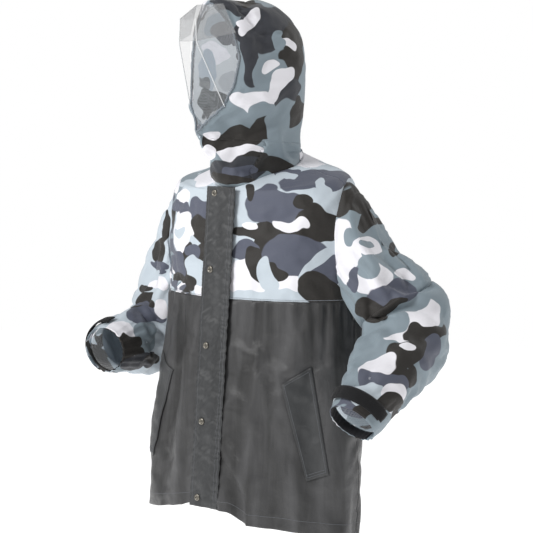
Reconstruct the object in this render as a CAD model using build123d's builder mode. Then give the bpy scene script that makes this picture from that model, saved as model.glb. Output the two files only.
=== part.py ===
from build123d import *
from math import cos, hypot, radians, sin
import os

os.makedirs("parts", exist_ok=True)

# Frame: +Z up, the wearer faces -Y, the wearer's left is +X.
# Origin: on the wearer's neck axis, level with the nape seam.

# Cloth and clearances
cloth = 2.0
lining = 1.0
gap = 0.4
overrun = 6.0
hem_turn = 3.0

# Trunk: the centre front is one straight line that leans forward as it goes down
neck_depth = 123.0
neck_level = -56.0
front_lean = 0.09
neck_half_width = 98.0
nape = (55.0, 15.0)
shoulder_half_width = 208.0
shoulder_level = -76.0
shoulder_back = (95.0, -32.0)
slope_inset = 48.0
slope_level = -66.0
slope_back = (76.0, -6.0)
armpit_inset = 4.0
armpit_level = -160.0
armpit_back = (128.0, -140.0)
chest_half_width = 230.0
chest_back_depth = 147.0
waist_half_width = 237.0
waist_back_depth = 136.0
hem_half_width = 246.0
hem_level = -700.0
hem_back = (97.0, -738.0)
waist_level = -450.0
chest_level = -270.0
side_seam_depth = -15.0
collar_inset = 5.0
collar_seam_depth = -100.0
opening_half_width = 12.0

# Hood: the profile gives a front point, and how far the back and the sides come in from the widest section
hood_half_width = 108.0
hood_foot_half_width = 93.0
hood_back_depth = 50.0
chin = (-198.0, 36.0)
nape_fold = (57.0, 20.0)
hood_profile = [
    ((-207.0, 54.0), -2.0, 13.0),
    ((-183.0, 110.0), -2.0, 8.0),
    ((-170.0, 190.0), 0.0, 0.0),
    ((-169.0, 240.0), 12.0, 10.0),
    ((-168.0, 278.0), 40.0, 38.0),
    ((-167.0, 299.0), 80.0, 66.0),
    ((-130.0, 309.0), 116.0, 90.0),
]
face_edge = [(-168.0, 330.0), (-166.0, 296.0), (-150.0, 190.0), (-177.0, 96.0), (-204.0, 46.0)]
binding_width = 9.0

# Veil: a stiffened brim over a see-through front and two side gussets
nose_half_width = 20.0
nose_depth = -230.0
nose_top = 262.0
nose_bottom = 220.0
brow = (42.0, -166.0, 288.0)
cheek = (66.0, -153.0, 190.0)
jaw = (47.0, -180.0, 96.0)
veil_sheet = 0.8
veil_inset = 1.6
veil_binding = 2.4
veil_seat = -5.0
chin_seam_rise = 14.0

# Sleeves
armhole_offset = 18.0
armhole_centre = (-5.0, -165.0)
armhole_half_height = 112.0
armhole_half_depth = 68.0
arm_clearance = 4.0
arm_flare = 28.0
arm_rise = 82.0
elbow_radius = 64.0
cuff_radius = 48.0
elbow_wedge = 14.0
elbow_run = 56.0
elbow_ease = 2.0
cuff_run = 55.0
left_elbow = (350.0, 20.0, -312.0)
left_cuff = (338.0, -160.0, -480.0)
right_elbow = (-322.0, 25.0, -372.0)
right_cuff = (-285.0, -175.0, -398.0)
cuff_elastic_width = 22.0
cuff_elastic_thickness = 1.5
cuff_elastic_start = 90.0
cuff_elastic_arc = 180.0
cuff_lining_length = 67.0
full_turn = 360.0
strap_width = 26.0
strap_thickness = 1.6
strap_arc = 120.0
strap_patch_arc = 70.0
strap_tab_arc = 8.0
strap_setback = 12.0
left_strap_angle = -5.0
right_strap_angle = -20.0
arc_steps = 8

# Front closure, measured out from the centre-front line
flap_width = 72.0
flap_edge = 32.0
flap_length = 619.0
flap_top = 10.0
flap_standoff = 6.0
flap_thickness = 2.0
snap_count = 5
snap_setback = 20.0
snap_first = 16.0
snap_pitch = 149.0
cap_radius = 7.0
cap_bore = 3.2
cap_height = 1.8
socket_radius = 5.5
socket_height = 2.6
stud_radius = 2.4
stud_base_radius = 5.0
stud_base_height = 1.0
stud_height = 4.0
stud_clearance = 0.6

# Zip
zip_top = 16.0
zip_length = 598.0
tape_inner = 3.4
tape_outer = 21.0
tape_depth = 4.2
tape_thickness = 0.8
tooth_pitch = 4.0
tooth_thickness = 2.4
tooth_root_share = 0.6
tooth_rise_share = 0.2
tooth_fall_share = 0.6
tooth_foot_share = 0.8
first_tooth = 2
chain_inner = 1.0
stop_size = 3.0
stop_height = 1.2
stop_inset = 2.0
box_length = 6.0
box_wall = 0.8
slider_half_width = 5.5
slider_length = 11.0
slider_plate = 1.2
slider_web = 0.6
slider_setback = 10.0
bridge_height = 3.2
bridge_length = 7.0
bridge_width = 2.0
bridge_roof = 1.0
bridge_window = 3.4
pull_length = 30.0
pull_half_width = 3.6
pull_thickness = 1.0
pull_hold = 1.2
pull_corner = 1.5
pull_eye_length = 6.0
pull_eye_drop = 4.2

# Side pockets
pocket_angle = 38.8
pocket_centre = (190.0, -108.0, -520.0)
welt_corners = [(-49.0, 88.0), (10.0, 121.0), (43.0, -82.0), (0.0, -95.0)]
slot_width = 11.0
bag_depth = 12.0
bag_wall = 1.0
bag_corners = [(-72.0, 92.0), (34.0, 118.0), (40.0, -135.0), (-50.0, -135.0)]
pocket_reach = 70.0


def front_depth(level):
    """Depth of the centre front at a level."""
    return -neck_depth + front_lean * (level - neck_level)


def section(level, back, half_width):
    """One trunk section: its front point, its back point and its half-width."""
    return ((front_depth(level), level), back, half_width)


trunk_sections = [
    section(hem_level, hem_back, hem_half_width),
    section(waist_level, (waist_back_depth, waist_level), waist_half_width),
    section(chest_level, (chest_back_depth, chest_level), chest_half_width),
    section(armpit_level, armpit_back, chest_half_width - armpit_inset),
    section(shoulder_level, shoulder_back, shoulder_half_width),
    section(slope_level, slope_back, shoulder_half_width - slope_inset),
    section(neck_level, nape, neck_half_width),
]
collar_sections = [
    section(neck_level, nape, neck_half_width - collar_inset),
    (chin, nape_fold, hood_foot_half_width),
]
hood_sections = [(chin, nape_fold, hood_foot_half_width)]
for front_row, back_inset, side_inset in hood_profile:
    back_row = (hood_back_depth - back_inset, front_row[1])
    hood_sections.append((front_row, back_row, hood_half_width - side_inset))
armhole_plane = chest_half_width - armhole_offset
wide = 400.0


def section_plane(front, back):
    """Plane through a front and a back point, level from side to side."""
    depth = back[0] - front[0]
    rise = back[1] - front[1]
    middle = (0, (front[0] + back[0]) / 2, (front[1] + back[1]) / 2)
    return Plane(origin=middle, x_dir=(1, 0, 0), z_dir=(0, -rise, depth))


def stack(sections, grow=0.0, lift=0.0):
    """Loft through elliptical sections, each grown sideways and lifted off its own plane."""
    with BuildPart() as solid:
        for front, back, half_width in sections:
            half_depth = hypot(back[0] - front[0], back[1] - front[1]) / 2
            with BuildSketch(section_plane(front, back).offset(lift)):
                Ellipse(half_width + grow, half_depth + grow)
        loft(ruled=True)
    return solid.part


def plug(section_row, grow, low, high):
    """Short elliptical plug that opens the end of a stack."""
    front, back, half_width = section_row
    half_depth = hypot(back[0] - front[0], back[1] - front[1]) / 2
    with BuildPart() as solid:
        with BuildSketch(section_plane(front, back).offset(low)):
            Ellipse(half_width + grow, half_depth + grow)
        extrude(amount=high - low)
    return solid.part


def layer(sections, outside, inside):
    """Shell between two grown copies of a stack, open at the bottom."""
    with BuildPart() as solid:
        add(stack(sections, outside))
        add(stack(sections, inside, inside - outside), mode=Mode.SUBTRACT)
    return solid.part


def facing(origin, direction):
    """Plane through a point, whose kept side lies along a direction."""
    return Plane(origin=origin, z_dir=direction)


def piece_of(shell, planes, cuts=()):
    """The part of a shell on the kept side of every plane, less the cuts."""
    with BuildPart() as solid:
        add(shell)
        for plane in planes:
            split(bisect_by=plane, keep=Keep.TOP)
        for cut in cuts:
            add(cut, mode=Mode.SUBTRACT)
    return solid.part


def side_prism(points):
    """Outline in the YZ plane, extruded to both sides."""
    with BuildPart() as solid:
        with BuildSketch(Plane.YZ):
            Polygon(*points, align=None)
        extrude(amount=wide, both=True)
    return solid.part


def arm_space(side):
    """Space that a sleeve sweeps beside the trunk as it swings about the armhole's centre."""
    depth, level = armhole_centre
    start = armhole_half_height + arm_clearance
    profile = [(0, 0), (0, start), (arm_flare, start + arm_rise), (2 * arm_flare, start + arm_rise),
               (2 * arm_flare, 0)]
    inner_face = armhole_plane - gap / 2
    with BuildPart() as space:
        with BuildSketch(Plane(origin=(0, depth, level), x_dir=(1, 0, 0), z_dir=(0, -1, 0))):
            Polygon(*[(side * (inner_face + x), r) for x, r in profile], align=None)
        revolve(axis=Axis((0, depth, level), (1, 0, 0)))
    return space.part


def pocket_plane(side):
    """Plane on the trunk at a pocket, its z axis pointing out of the cloth."""
    angle = radians(pocket_angle)
    x, y, z = pocket_centre
    return Plane(origin=(side * x, y, z), x_dir=(side * cos(angle), sin(angle), 0),
                 z_dir=(side * sin(angle), -cos(angle), 0))


def pocket_prism(side, corners, inset=0.0):
    """Outline drawn on a pocket's plane, extruded through the cloth."""
    with BuildPart() as solid:
        with BuildSketch(pocket_plane(side)):
            Polygon(*[(x, side * y) for x, y in corners], align=None)
            if inset:
                offset(amount=-inset, kind=Kind.INTERSECTION)
        extrude(amount=pocket_reach, both=True)
    return solid.part


def save(name, part):
    """Label one finished piece and write its STEP file."""
    part.label = name
    export_step(part, f"parts/{name}.step")


# Trunk: yokes above, three panels below, open down the centre front and at both armholes
with BuildPart() as trunk_shell:
    add(layer(trunk_sections, 0.0, -cloth))
    add(plug(trunk_sections[-1], -hem_turn, -2 * hem_turn, overrun), mode=Mode.SUBTRACT)
    add(plug(trunk_sections[0], -hem_turn, -overrun, 2 * hem_turn), mode=Mode.SUBTRACT)
    add(arm_space(1), mode=Mode.SUBTRACT)
    add(arm_space(-1), mode=Mode.SUBTRACT)

slot_corners = [
    (welt_corners[0][0] - gap - slot_width, welt_corners[0][1] - slot_width),
    (welt_corners[0][0] - gap, welt_corners[0][1] - slot_width),
    (welt_corners[3][0] - gap, welt_corners[3][1] + slot_width),
    (welt_corners[3][0] - gap - slot_width, welt_corners[3][1] + slot_width),
]
seam = side_seam_depth
half = gap / 2
slots = {side: pocket_prism(side, slot_corners) for side in (1, -1)}
above = facing((0, 0, chest_level + half), (0, 0, 1))
below = facing((0, 0, chest_level - half), (0, 0, -1))
behind = facing((0, seam + half, 0), (0, 1, 0))
ahead = facing((0, seam - half, 0), (0, -1, 0))
save("back_yoke", piece_of(trunk_shell.part, [behind, above]))
save("back_panel", piece_of(trunk_shell.part, [behind, below]))
for side, name in ((1, "left"), (-1, "right")):
    beside = facing((side * opening_half_width, 0, 0), (side, 0, 0))
    save(f"front_yoke_{name}", piece_of(trunk_shell.part, [ahead, above, beside]))
    save(f"front_panel_{name}", piece_of(trunk_shell.part, [ahead, below, beside], [slots[side]]))

# Pockets: a stitched welt outside and a thin bag inside each front panel
lower_trunk = trunk_sections[:3]
welt_layer = layer(lower_trunk, gap + cloth, gap)
bag_face = -cloth - gap
bag_layer = layer(lower_trunk, bag_face, bag_face - bag_depth)
bag_space = layer(lower_trunk, bag_face - bag_wall, bag_face - bag_depth + bag_wall)
for side, name in ((1, "left"), (-1, "right")):
    with BuildPart() as pocket_welt:
        add(welt_layer)
        add(pocket_prism(side, welt_corners), mode=Mode.INTERSECT)
    save(f"pocket_welt_{name}", pocket_welt.part)
    with BuildPart() as pocket_hollow:
        add(bag_space)
        add(pocket_prism(side, bag_corners, bag_wall), mode=Mode.INTERSECT)
    with BuildPart() as pocket_mouth:
        add(layer(lower_trunk, bag_face + overrun, bag_face - bag_depth / 2))
        add(slots[side], mode=Mode.INTERSECT)
    with BuildPart() as pocket_bag:
        add(bag_layer)
        add(pocket_prism(side, bag_corners), mode=Mode.INTERSECT)
        add(pocket_hollow.part, mode=Mode.SUBTRACT)
        add(pocket_mouth.part, mode=Mode.SUBTRACT)
    save(f"pocket_bag_{name}", pocket_bag.part)

# Collar: the lower part of the hood, sewn to the neck, in a front and a back piece
with BuildPart() as collar_shell:
    add(stack(collar_sections, 0.0, gap))
    add(stack(collar_sections, -cloth, -cloth), mode=Mode.SUBTRACT)
    add(plug(collar_sections[-1], -hem_turn, -2 * hem_turn, overrun), mode=Mode.SUBTRACT)
save("collar_front", piece_of(collar_shell.part, [facing((0, collar_seam_depth - half, 0), (0, -1, 0))]))
save("collar_back", piece_of(collar_shell.part, [facing((0, collar_seam_depth + half, 0), (0, 1, 0))]))

# Hood: two halves joined on the crown, with a mesh lining and a bound face edge
face_ends = [(-wide, face_edge[-1][1]), (-wide, face_edge[0][1])]
face_space = side_prism(face_edge + face_ends)
inner_edge = [(y + binding_width, z) for y, z in face_edge]
inner_space = side_prism(inner_edge + face_ends)
hood_foot = plug(hood_sections[0], wide, -overrun - wide, gap)
with BuildPart() as hood_shell:
    add(stack(hood_sections))
    add(stack(hood_sections, -cloth, -cloth), mode=Mode.SUBTRACT)
    add(plug(hood_sections[0], -hem_turn, -overrun, 2 * hem_turn), mode=Mode.SUBTRACT)
    add(hood_foot, mode=Mode.SUBTRACT)
    add(face_space, mode=Mode.SUBTRACT)
save("hood_left", piece_of(hood_shell.part, [facing((half, 0, 0), (1, 0, 0))]))
save("hood_right", piece_of(hood_shell.part, [facing((-half, 0, 0), (-1, 0, 0))]))

lining_face = -cloth - gap
with BuildPart() as hood_lining:
    add(stack(hood_sections, lining_face, lining_face))
    add(stack(hood_sections, lining_face - lining, lining_face - lining), mode=Mode.SUBTRACT)
    add(plug(hood_sections[0], lining_face - lining, -2 * overrun, 2 * overrun), mode=Mode.SUBTRACT)
    add(hood_foot, mode=Mode.SUBTRACT)
    add(inner_space, mode=Mode.SUBTRACT)
save("hood_lining", hood_lining.part)

with BuildPart() as face_binding:
    add(stack(hood_sections, gap + cloth, gap + cloth))
    add(stack(hood_sections, gap, gap), mode=Mode.SUBTRACT)
    add(inner_space, mode=Mode.INTERSECT)
    add(face_space, mode=Mode.SUBTRACT)
    add(plug(hood_sections[0], wide, -overrun - wide, 3 * gap), mode=Mode.SUBTRACT)
save("face_binding", face_binding.part)


# Veil: flat see-through panels stretched between the brim and the face edge
def sheet(points, thickness=veil_sheet, inset=veil_inset):
    """Flat panel through three or more points that share a plane, drawn inside its seams."""
    corners = [Vector(*p) for p in points]
    along = corners[1] - corners[0]
    facing = along.cross(corners[2] - corners[0])
    plane = Plane(origin=corners[0], x_dir=along, z_dir=facing)
    flat = [plane.to_local_coords(c) for c in corners]
    with BuildPart() as panel:
        with BuildSketch(plane):
            Polygon(*[(p.X, p.Y) for p in flat], align=None)
            offset(amount=-inset, kind=Kind.INTERSECTION)
        extrude(amount=thickness / 2, both=True)
    return panel.part


def at_side(side, point):
    """A point of the left half, or its mirror image."""
    return (side * point[0], point[1], point[2])


top_front = (nose_half_width, nose_depth, nose_top)
low_front = (nose_half_width, nose_depth, nose_bottom)
brow_edge = (brow[0], brow[1] + veil_seat, brow[2])
cheek_edge = (cheek[0], cheek[1] + veil_seat, cheek[2])
jaw_edge = (jaw[0], jaw[1] + veil_seat, jaw[2])
chin_edge = (0.0, face_edge[-1][0] + veil_seat, chin[1] + chin_seam_rise)
with BuildPart() as brim:
    add(sheet([at_side(-1, top_front), top_front, brow_edge, at_side(-1, brow_edge)]))
    add(sheet([at_side(-1, low_front), low_front, top_front, at_side(-1, top_front)]))
save("brim", brim.part)
save("veil_front", sheet([at_side(-1, jaw_edge), jaw_edge, low_front, at_side(-1, low_front)]))
save("veil_chin", sheet([at_side(-1, jaw_edge), chin_edge, jaw_edge]))
for side, name in ((1, "left"), (-1, "right")):
    with BuildPart() as veil_side:
        add(sheet([at_side(side, top_front), at_side(side, low_front), at_side(side, cheek_edge)]))
        add(sheet([at_side(side, top_front), at_side(side, cheek_edge), at_side(side, brow_edge)]))
        add(sheet([at_side(side, low_front), at_side(side, jaw_edge), at_side(side, cheek_edge)]))
    save(f"veil_side_{name}", veil_side.part)
    lower = Vector(*at_side(side, jaw_edge))
    upper = Vector(*at_side(side, low_front))
    run = (upper - lower).normalized()
    outward = Vector(side, -1, 0).normalized() * (veil_inset + gap)
    seam_plane = Plane(origin=lower + outward + run * veil_inset, x_dir=(1, 0, 0), z_dir=run)
    with BuildPart() as veil_seam:
        with BuildSketch(seam_plane):
            Rectangle(veil_binding, veil_binding)
        extrude(amount=(upper - lower).length - 2 * veil_inset)
    save(f"veil_seam_{name}", veil_seam.part)

# Storm flap over the zip, with its snaps; the matching studs are on the right front panel
front = Plane(origin=(0, -neck_depth, neck_level), x_dir=(1, 0, 0), z_dir=(0, -1, front_lean))
snap_x = flap_edge - flap_width + snap_setback
snap_spots = [(snap_x, -snap_first - i * snap_pitch) for i in range(snap_count)]
flap_middle = (flap_edge - flap_width / 2, -flap_top - flap_length / 2)

with BuildPart() as storm_flap:
    with BuildSketch(front.offset(flap_standoff)):
        with Locations(flap_middle):
            Rectangle(flap_width, flap_length)
    extrude(amount=flap_thickness)
save("storm_flap", storm_flap.part)

with BuildPart() as snap_caps:
    with BuildSketch(front.offset(flap_standoff + flap_thickness + gap)):
        with Locations(*snap_spots):
            Circle(cap_radius)
            Circle(cap_bore, mode=Mode.SUBTRACT)
    extrude(amount=cap_height)
save("snap_caps", snap_caps.part)

with BuildPart() as snap_sockets:
    with BuildSketch(front.offset(flap_standoff - gap - socket_height)):
        with Locations(*snap_spots):
            Circle(socket_radius)
            Circle(stud_radius + stud_clearance, mode=Mode.SUBTRACT)
    extrude(amount=socket_height)
save("snap_sockets", snap_sockets.part)

with BuildPart() as snap_studs:
    with BuildSketch(front.offset(gap)):
        with Locations(*snap_spots):
            Circle(stud_base_radius)
    extrude(amount=stud_base_height)
    with BuildSketch(front.offset(gap + stud_base_height)):
        with Locations(*snap_spots):
            Circle(stud_radius)
    extrude(amount=stud_height - stud_base_height)
save("snap_studs", snap_studs.part)


# Zip: two tapes with their rows of teeth, stops, a bottom box, and the slider with its pull
def front_bar(x, length, offset_out, thickness, width, middle):
    """Upright bar in the front frame, at x, with its middle this far down."""
    with BuildPart() as bar:
        with BuildSketch(front.offset(offset_out)):
            with Locations((x, -middle)):
                Rectangle(width, length)
        extrude(amount=thickness)
    return bar.part


tape_middle = zip_top + zip_length / 2
tooth_count = int(zip_length / tooth_pitch) - 2 * first_tooth
for side, name in ((1, "left"), (-1, "right")):
    tape_width = tape_outer - tape_inner
    save(f"zip_tape_{name}", front_bar(side * (tape_inner + tape_width / 2), zip_length, -tape_depth,
                                       tape_thickness, tape_width, tape_middle))
    comb = [(side * (tape_inner - gap), -zip_top - first_tooth * tooth_pitch)]
    for i in range(tooth_count):
        level = -zip_top - (i + first_tooth) * tooth_pitch
        root = side * (chain_inner + (tape_inner - gap - chain_inner) * tooth_root_share)
        tip = side * chain_inner
        comb += [(root, level), (tip, level - tooth_pitch * tooth_rise_share)]
        comb += [(tip, level - tooth_pitch * tooth_fall_share)]
        comb += [(root, level - tooth_pitch * tooth_foot_share)]
    comb += [(side * (tape_inner - gap), -zip_top - (tooth_count + first_tooth) * tooth_pitch)]
    tooth_face = -tape_depth + (tape_thickness - tooth_thickness) / 2
    with BuildPart() as zip_teeth:
        with BuildSketch(front.offset(tooth_face)):
            Polygon(*comb, align=None)
        extrude(amount=tooth_thickness)
    save(f"zip_teeth_{name}", zip_teeth.part)

stop_x = tape_inner + stop_inset
stop_y = -zip_top - stop_inset
with BuildPart() as zip_stops:
    with BuildSketch(front.offset(-tape_depth + tape_thickness + gap)):
        with Locations((stop_x, stop_y), (-stop_x, stop_y)):
            Rectangle(stop_size, stop_size)
    extrude(amount=stop_height)
save("zip_stops", zip_stops.part)

box_middle = zip_top + (tooth_count + first_tooth) * tooth_pitch + gap + box_length / 2
save("zip_box", front_bar(0.0, box_length, -tape_depth - gap - box_wall, 2 * (tape_thickness + box_wall),
                          2 * (tape_inner - gap), box_middle))

slider_middle = zip_top + slider_setback + slider_length / 2
chain_clear = tooth_thickness / 2 + gap
tape_centre = -tape_depth + tape_thickness / 2
plate_top = tape_centre + chain_clear
plate_bottom = tape_centre - chain_clear - slider_plate
with BuildPart() as zip_slider:
    add(front_bar(0.0, slider_length, plate_top, slider_plate, 2 * slider_half_width, slider_middle))
    add(front_bar(0.0, slider_length, plate_bottom, slider_plate, 2 * slider_half_width, slider_middle))
    add(front_bar(0.0, slider_length, plate_bottom, plate_top - plate_bottom + slider_plate, 2 * slider_web,
                  slider_middle))
    add(front_bar(0.0, bridge_length, plate_top + slider_plate, bridge_height, bridge_width, slider_middle))
    add(front_bar(0.0, bridge_window, plate_top + slider_plate, bridge_height - bridge_roof, 2 * bridge_width,
                  slider_middle), mode=Mode.SUBTRACT)
save("zip_slider", zip_slider.part)

pull_face = plate_top + slider_plate + gap
with BuildPart() as zip_pull:
    with BuildSketch(front.offset(pull_face)):
        with Locations((0, -slider_middle - pull_length / 2 + pull_hold)):
            RectangleRounded(2 * pull_half_width, pull_length, pull_corner)
        with Locations((0, -slider_middle - pull_eye_drop)):
            Rectangle(bridge_width + 2 * gap, pull_eye_length + 2 * gap, mode=Mode.SUBTRACT)
    extrude(amount=pull_thickness)
save("zip_pull", zip_pull.part)


# Sleeves: an upper and a lower tube that meet at the elbow, each side in its own pose
def carry(direction, normal):
    """Turn a direction as little as needed to lie square to a new normal."""
    return (direction - normal * direction.dot(normal)).normalized()


def tube(rings, grow, end_run):
    """Loft between each pair of (origin, normal, half-height, half-depth) rings, run on past both ends."""
    upward = Vector(0, 0, 1)
    planes = []
    for index, (origin, normal, _, _) in enumerate(rings):
        upward = carry(upward, normal)
        shift = {0: -end_run, len(rings) - 1: end_run}.get(index, 0.0)
        planes.append(Plane(origin=origin + normal * shift, x_dir=upward, z_dir=normal))
    with BuildPart() as solid:
        for first in range(len(rings) - 1):
            for index in (first, first + 1):
                with BuildSketch(planes[index]):
                    Ellipse(rings[index][2] + grow, rings[index][3] + grow)
            loft(ruled=True)
    return solid.part


def sleeve_shell(rings):
    """Open tube of cloth through the rings."""
    with BuildPart() as solid:
        add(tube(rings, 0.0, 0.0))
        add(tube(rings, -cloth, overrun), mode=Mode.SUBTRACT)
    return solid.part


def half_space(origin, normal):
    """Large block on the far side of a plane."""
    with BuildPart() as solid:
        with BuildSketch(Plane(origin=origin, z_dir=normal)):
            Rectangle(3 * wide, 3 * wide)
        extrude(amount=wide)
    return solid.part


def arc_band(plane, inner, thickness, length, start, sweep):
    """Band round a plane's z axis, from an angle over an arc, as long as asked along z."""
    reach = 3 * (inner + thickness)
    wedge = [(0, 0)]
    for i in range(arc_steps + 1):
        angle = radians(start + sweep * i / arc_steps)
        wedge.append((reach * cos(angle), reach * sin(angle)))
    with BuildPart() as band:
        with BuildSketch(plane):
            Circle(inner + thickness)
            Circle(inner, mode=Mode.SUBTRACT)
            Polygon(*wedge, align=None, mode=Mode.INTERSECT)
        extrude(amount=length)
    return band.part


def build_sleeve(side, name, elbow, cuff, strap_angle):
    """All the pieces of one sleeve."""
    depth, level = armhole_centre
    shoulder = Vector(side * (armhole_plane + half), depth, level)
    elbow = Vector(*elbow)
    cuff = Vector(*cuff)
    upper_way = (elbow - shoulder).normalized()
    lower_way = (cuff - elbow).normalized()
    across = upper_way.cross(lower_way).normalized()
    mitre = (upper_way + lower_way).normalized()
    outer = (upper_way - lower_way).normalized()
    hinge = elbow + outer * (elbow_radius + elbow_ease + gap)

    upper_rings = [
        (shoulder, Vector(side, 0, 0), armhole_half_height, armhole_half_depth),
        (elbow - upper_way * elbow_run, upper_way, elbow_radius + elbow_ease, elbow_radius + elbow_ease),
        (elbow + outer * elbow_ease, mitre, elbow_radius, elbow_radius),
    ]
    with BuildPart() as upper_sleeve:
        add(sleeve_shell(upper_rings))
        add(half_space(hinge - upper_way * gap, mitre.rotate(Axis((0, 0, 0), across), elbow_wedge / 2)),
            mode=Mode.SUBTRACT)
    save(f"sleeve_upper_{name}", upper_sleeve.part)

    lower_rings = [
        (elbow + outer * elbow_ease, mitre, elbow_radius, elbow_radius),
        (elbow + lower_way * elbow_run, lower_way, elbow_radius, elbow_radius),
        (cuff - lower_way * cuff_run, lower_way, cuff_radius, cuff_radius),
        (cuff, lower_way, cuff_radius, cuff_radius),
    ]
    with BuildPart() as lower_sleeve:
        add(sleeve_shell(lower_rings))
        back_way = mitre.rotate(Axis((0, 0, 0), across), -elbow_wedge / 2) * -1
        add(half_space(hinge + lower_way * gap, back_way), mode=Mode.SUBTRACT)
    save(f"sleeve_lower_{name}", lower_sleeve.part)

    end = Plane(origin=cuff, x_dir=carry(Vector(0, 0, 1), lower_way), z_dir=lower_way * -1)
    inner_radius = cuff_radius - cloth - gap
    save(f"cuff_elastic_{name}", arc_band(end, inner_radius - cuff_elastic_thickness, cuff_elastic_thickness,
                                          cuff_elastic_width, cuff_elastic_start, cuff_elastic_arc))
    save(f"cuff_lining_{name}", arc_band(end.offset(cuff_elastic_width + gap), inner_radius - lining - gap,
                                         lining, cuff_lining_length - cuff_elastic_width, 0.0, full_turn))
    patch_start = strap_angle + strap_arc - strap_patch_arc - strap_tab_arc
    save(f"strap_patch_{name}", arc_band(end.offset(strap_setback), cuff_radius + gap, lining, strap_width,
                                         patch_start, strap_patch_arc))
    strap_face = cuff_radius + 2 * gap + lining
    save(f"cuff_strap_{name}", arc_band(end.offset(strap_setback), strap_face, strap_thickness, strap_width,
                                        strap_angle, strap_arc))


build_sleeve(1, "left", left_elbow, left_cuff, left_strap_angle)
build_sleeve(-1, "right", right_elbow, right_cuff, right_strap_angle)
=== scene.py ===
import math

import bmesh
import bpy
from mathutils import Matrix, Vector, noise


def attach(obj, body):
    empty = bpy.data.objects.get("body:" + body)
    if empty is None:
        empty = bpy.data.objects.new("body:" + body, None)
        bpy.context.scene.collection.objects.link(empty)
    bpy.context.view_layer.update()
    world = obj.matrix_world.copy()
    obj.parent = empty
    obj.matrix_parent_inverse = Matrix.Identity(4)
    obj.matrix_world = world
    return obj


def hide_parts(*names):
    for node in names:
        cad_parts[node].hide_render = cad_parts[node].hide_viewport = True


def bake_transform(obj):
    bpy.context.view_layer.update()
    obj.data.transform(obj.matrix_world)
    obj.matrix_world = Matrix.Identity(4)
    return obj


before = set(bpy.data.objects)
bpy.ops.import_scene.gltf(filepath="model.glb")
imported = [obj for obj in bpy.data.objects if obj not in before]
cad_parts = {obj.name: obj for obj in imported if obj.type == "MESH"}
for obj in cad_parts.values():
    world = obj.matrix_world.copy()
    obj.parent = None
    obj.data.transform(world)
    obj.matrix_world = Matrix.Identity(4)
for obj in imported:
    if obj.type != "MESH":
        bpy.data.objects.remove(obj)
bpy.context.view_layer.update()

# ---------------------------------------------------------------------------------------------
# Frame: the wearer faces -Y, the wearer's left is +X, +Z up. Sizes are millimetres until a mesh is made.
# ---------------------------------------------------------------------------------------------
MM = 0.001
GRID = 6.0
CLOTH = 0.9

# Trunk sections from hem to neck: front depth, front level, back depth, back level, half-width
TRUNK = [
    (-181.0, -701.0, 97.0, -738.0, 246.0),
    (-158.5, -450.0, 136.0, -450.0, 237.0),
    (-142.3, -270.0, 147.0, -270.0, 230.0),
    (-132.4, -160.0, 128.0, -140.0, 226.0),
    (-124.8, -76.0, 95.0, -32.0, 208.0),
    (-123.9, -66.0, 76.0, -6.0, 160.0),
    (-123.0, -56.0, 55.0, 15.0, 97.0),
]
SEAM_LEVEL = -275.0
OPENING = 11.0
FRONT_LEAN = 0.09
NECK_FRONT = (-123.0, -56.0)
ARMHOLE = (0.0, -168.0)
ARMHOLE_REACH = (50.0, 120.0)


def front_point(x, down, out):
    """A point measured from the top of the centre front: across, down along it and out from it."""
    norm = math.hypot(1.0, FRONT_LEAN)
    y = NECK_FRONT[0] - down * FRONT_LEAN / norm - out / norm
    z = NECK_FRONT[1] - down / norm + out * FRONT_LEAN / norm
    return Vector((x, y, z))


def smooth(t):
    """Smooth step from 0 to 1."""
    t = min(max(t, 0.0), 1.0)
    return t * t * (3.0 - 2.0 * t)


def spline(rows, t):
    """Catmull-Rom value through rows of numbers, at a place counted in rows."""
    i = min(int(t), len(rows) - 2)
    f = t - i
    a, b, c, d = (rows[min(max(k, 0), len(rows) - 1)] for k in (i - 1, i, i + 1, i + 2))
    return [
        0.5 * (2 * q + (r - p) * f + (2 * p - 5 * q + 4 * r - s) * f * f + (3 * q - p - 3 * r + s) * f ** 3)
        for p, q, r, s in zip(a, b, c, d)
    ]


def ring_point(row, angle, grow=0.0):
    """Point of an elliptical section, from its front point round by the wearer's left."""
    yf, zf, yb, zb, half_width = row
    middle = Vector((0.0, (yf + yb) / 2, (zf + zb) / 2))
    back = Vector((0.0, (yb - yf) / 2, (zb - zf) / 2))
    half_depth = back.length
    return middle + Vector(((half_width + grow) * math.sin(angle), 0, 0)) - back * (
        (1 + grow / half_depth) * math.cos(angle))


def prow(point, row):
    """Draws the front of the neck and chin in to a point, less toward the neck seam and the cheeks."""
    middle, half_depth = (row[0] + row[2]) / 2, (row[2] - row[0]) / 2
    share = max(0.0, min(1.0, (middle - point.y) / half_depth))
    above = smooth((point.z + 56.0 + 0.4 * (point.y + 123.0)) / 46.0)
    amount = 0.85 * smooth((104.0 - point.z) / 50.0) * (0.3 + 0.7 * above)
    point.x *= 1 + amount * (math.sqrt((1 - share) / (1 + share)) - 1)
    return point


def spread(rows, pitch):
    """Places along a stack of sections, about a pitch apart."""
    places = [0.0]
    for i in range(len(rows) - 1):
        a, b = rows[i], rows[i + 1]
        front, back = math.hypot(a[0] - b[0], a[1] - b[1]), math.hypot(a[2] - b[2], a[3] - b[3])
        run = max(front, back, abs(a[4] - b[4]))
        steps = max(2, round(run / pitch))
        places += [i + k / steps for k in range(1, steps + 1)]
    return places


def wobble(point, size, seed):
    """Smooth noise between about -1 and 1, with features of a size in millimetres."""
    return noise.noise(Vector(point) / size + Vector((seed * 7.3, seed * 3.1, seed * 5.7)))


def clear():
    """Deselect everything."""
    bpy.ops.object.select_all(action="DESELECT")


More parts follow.
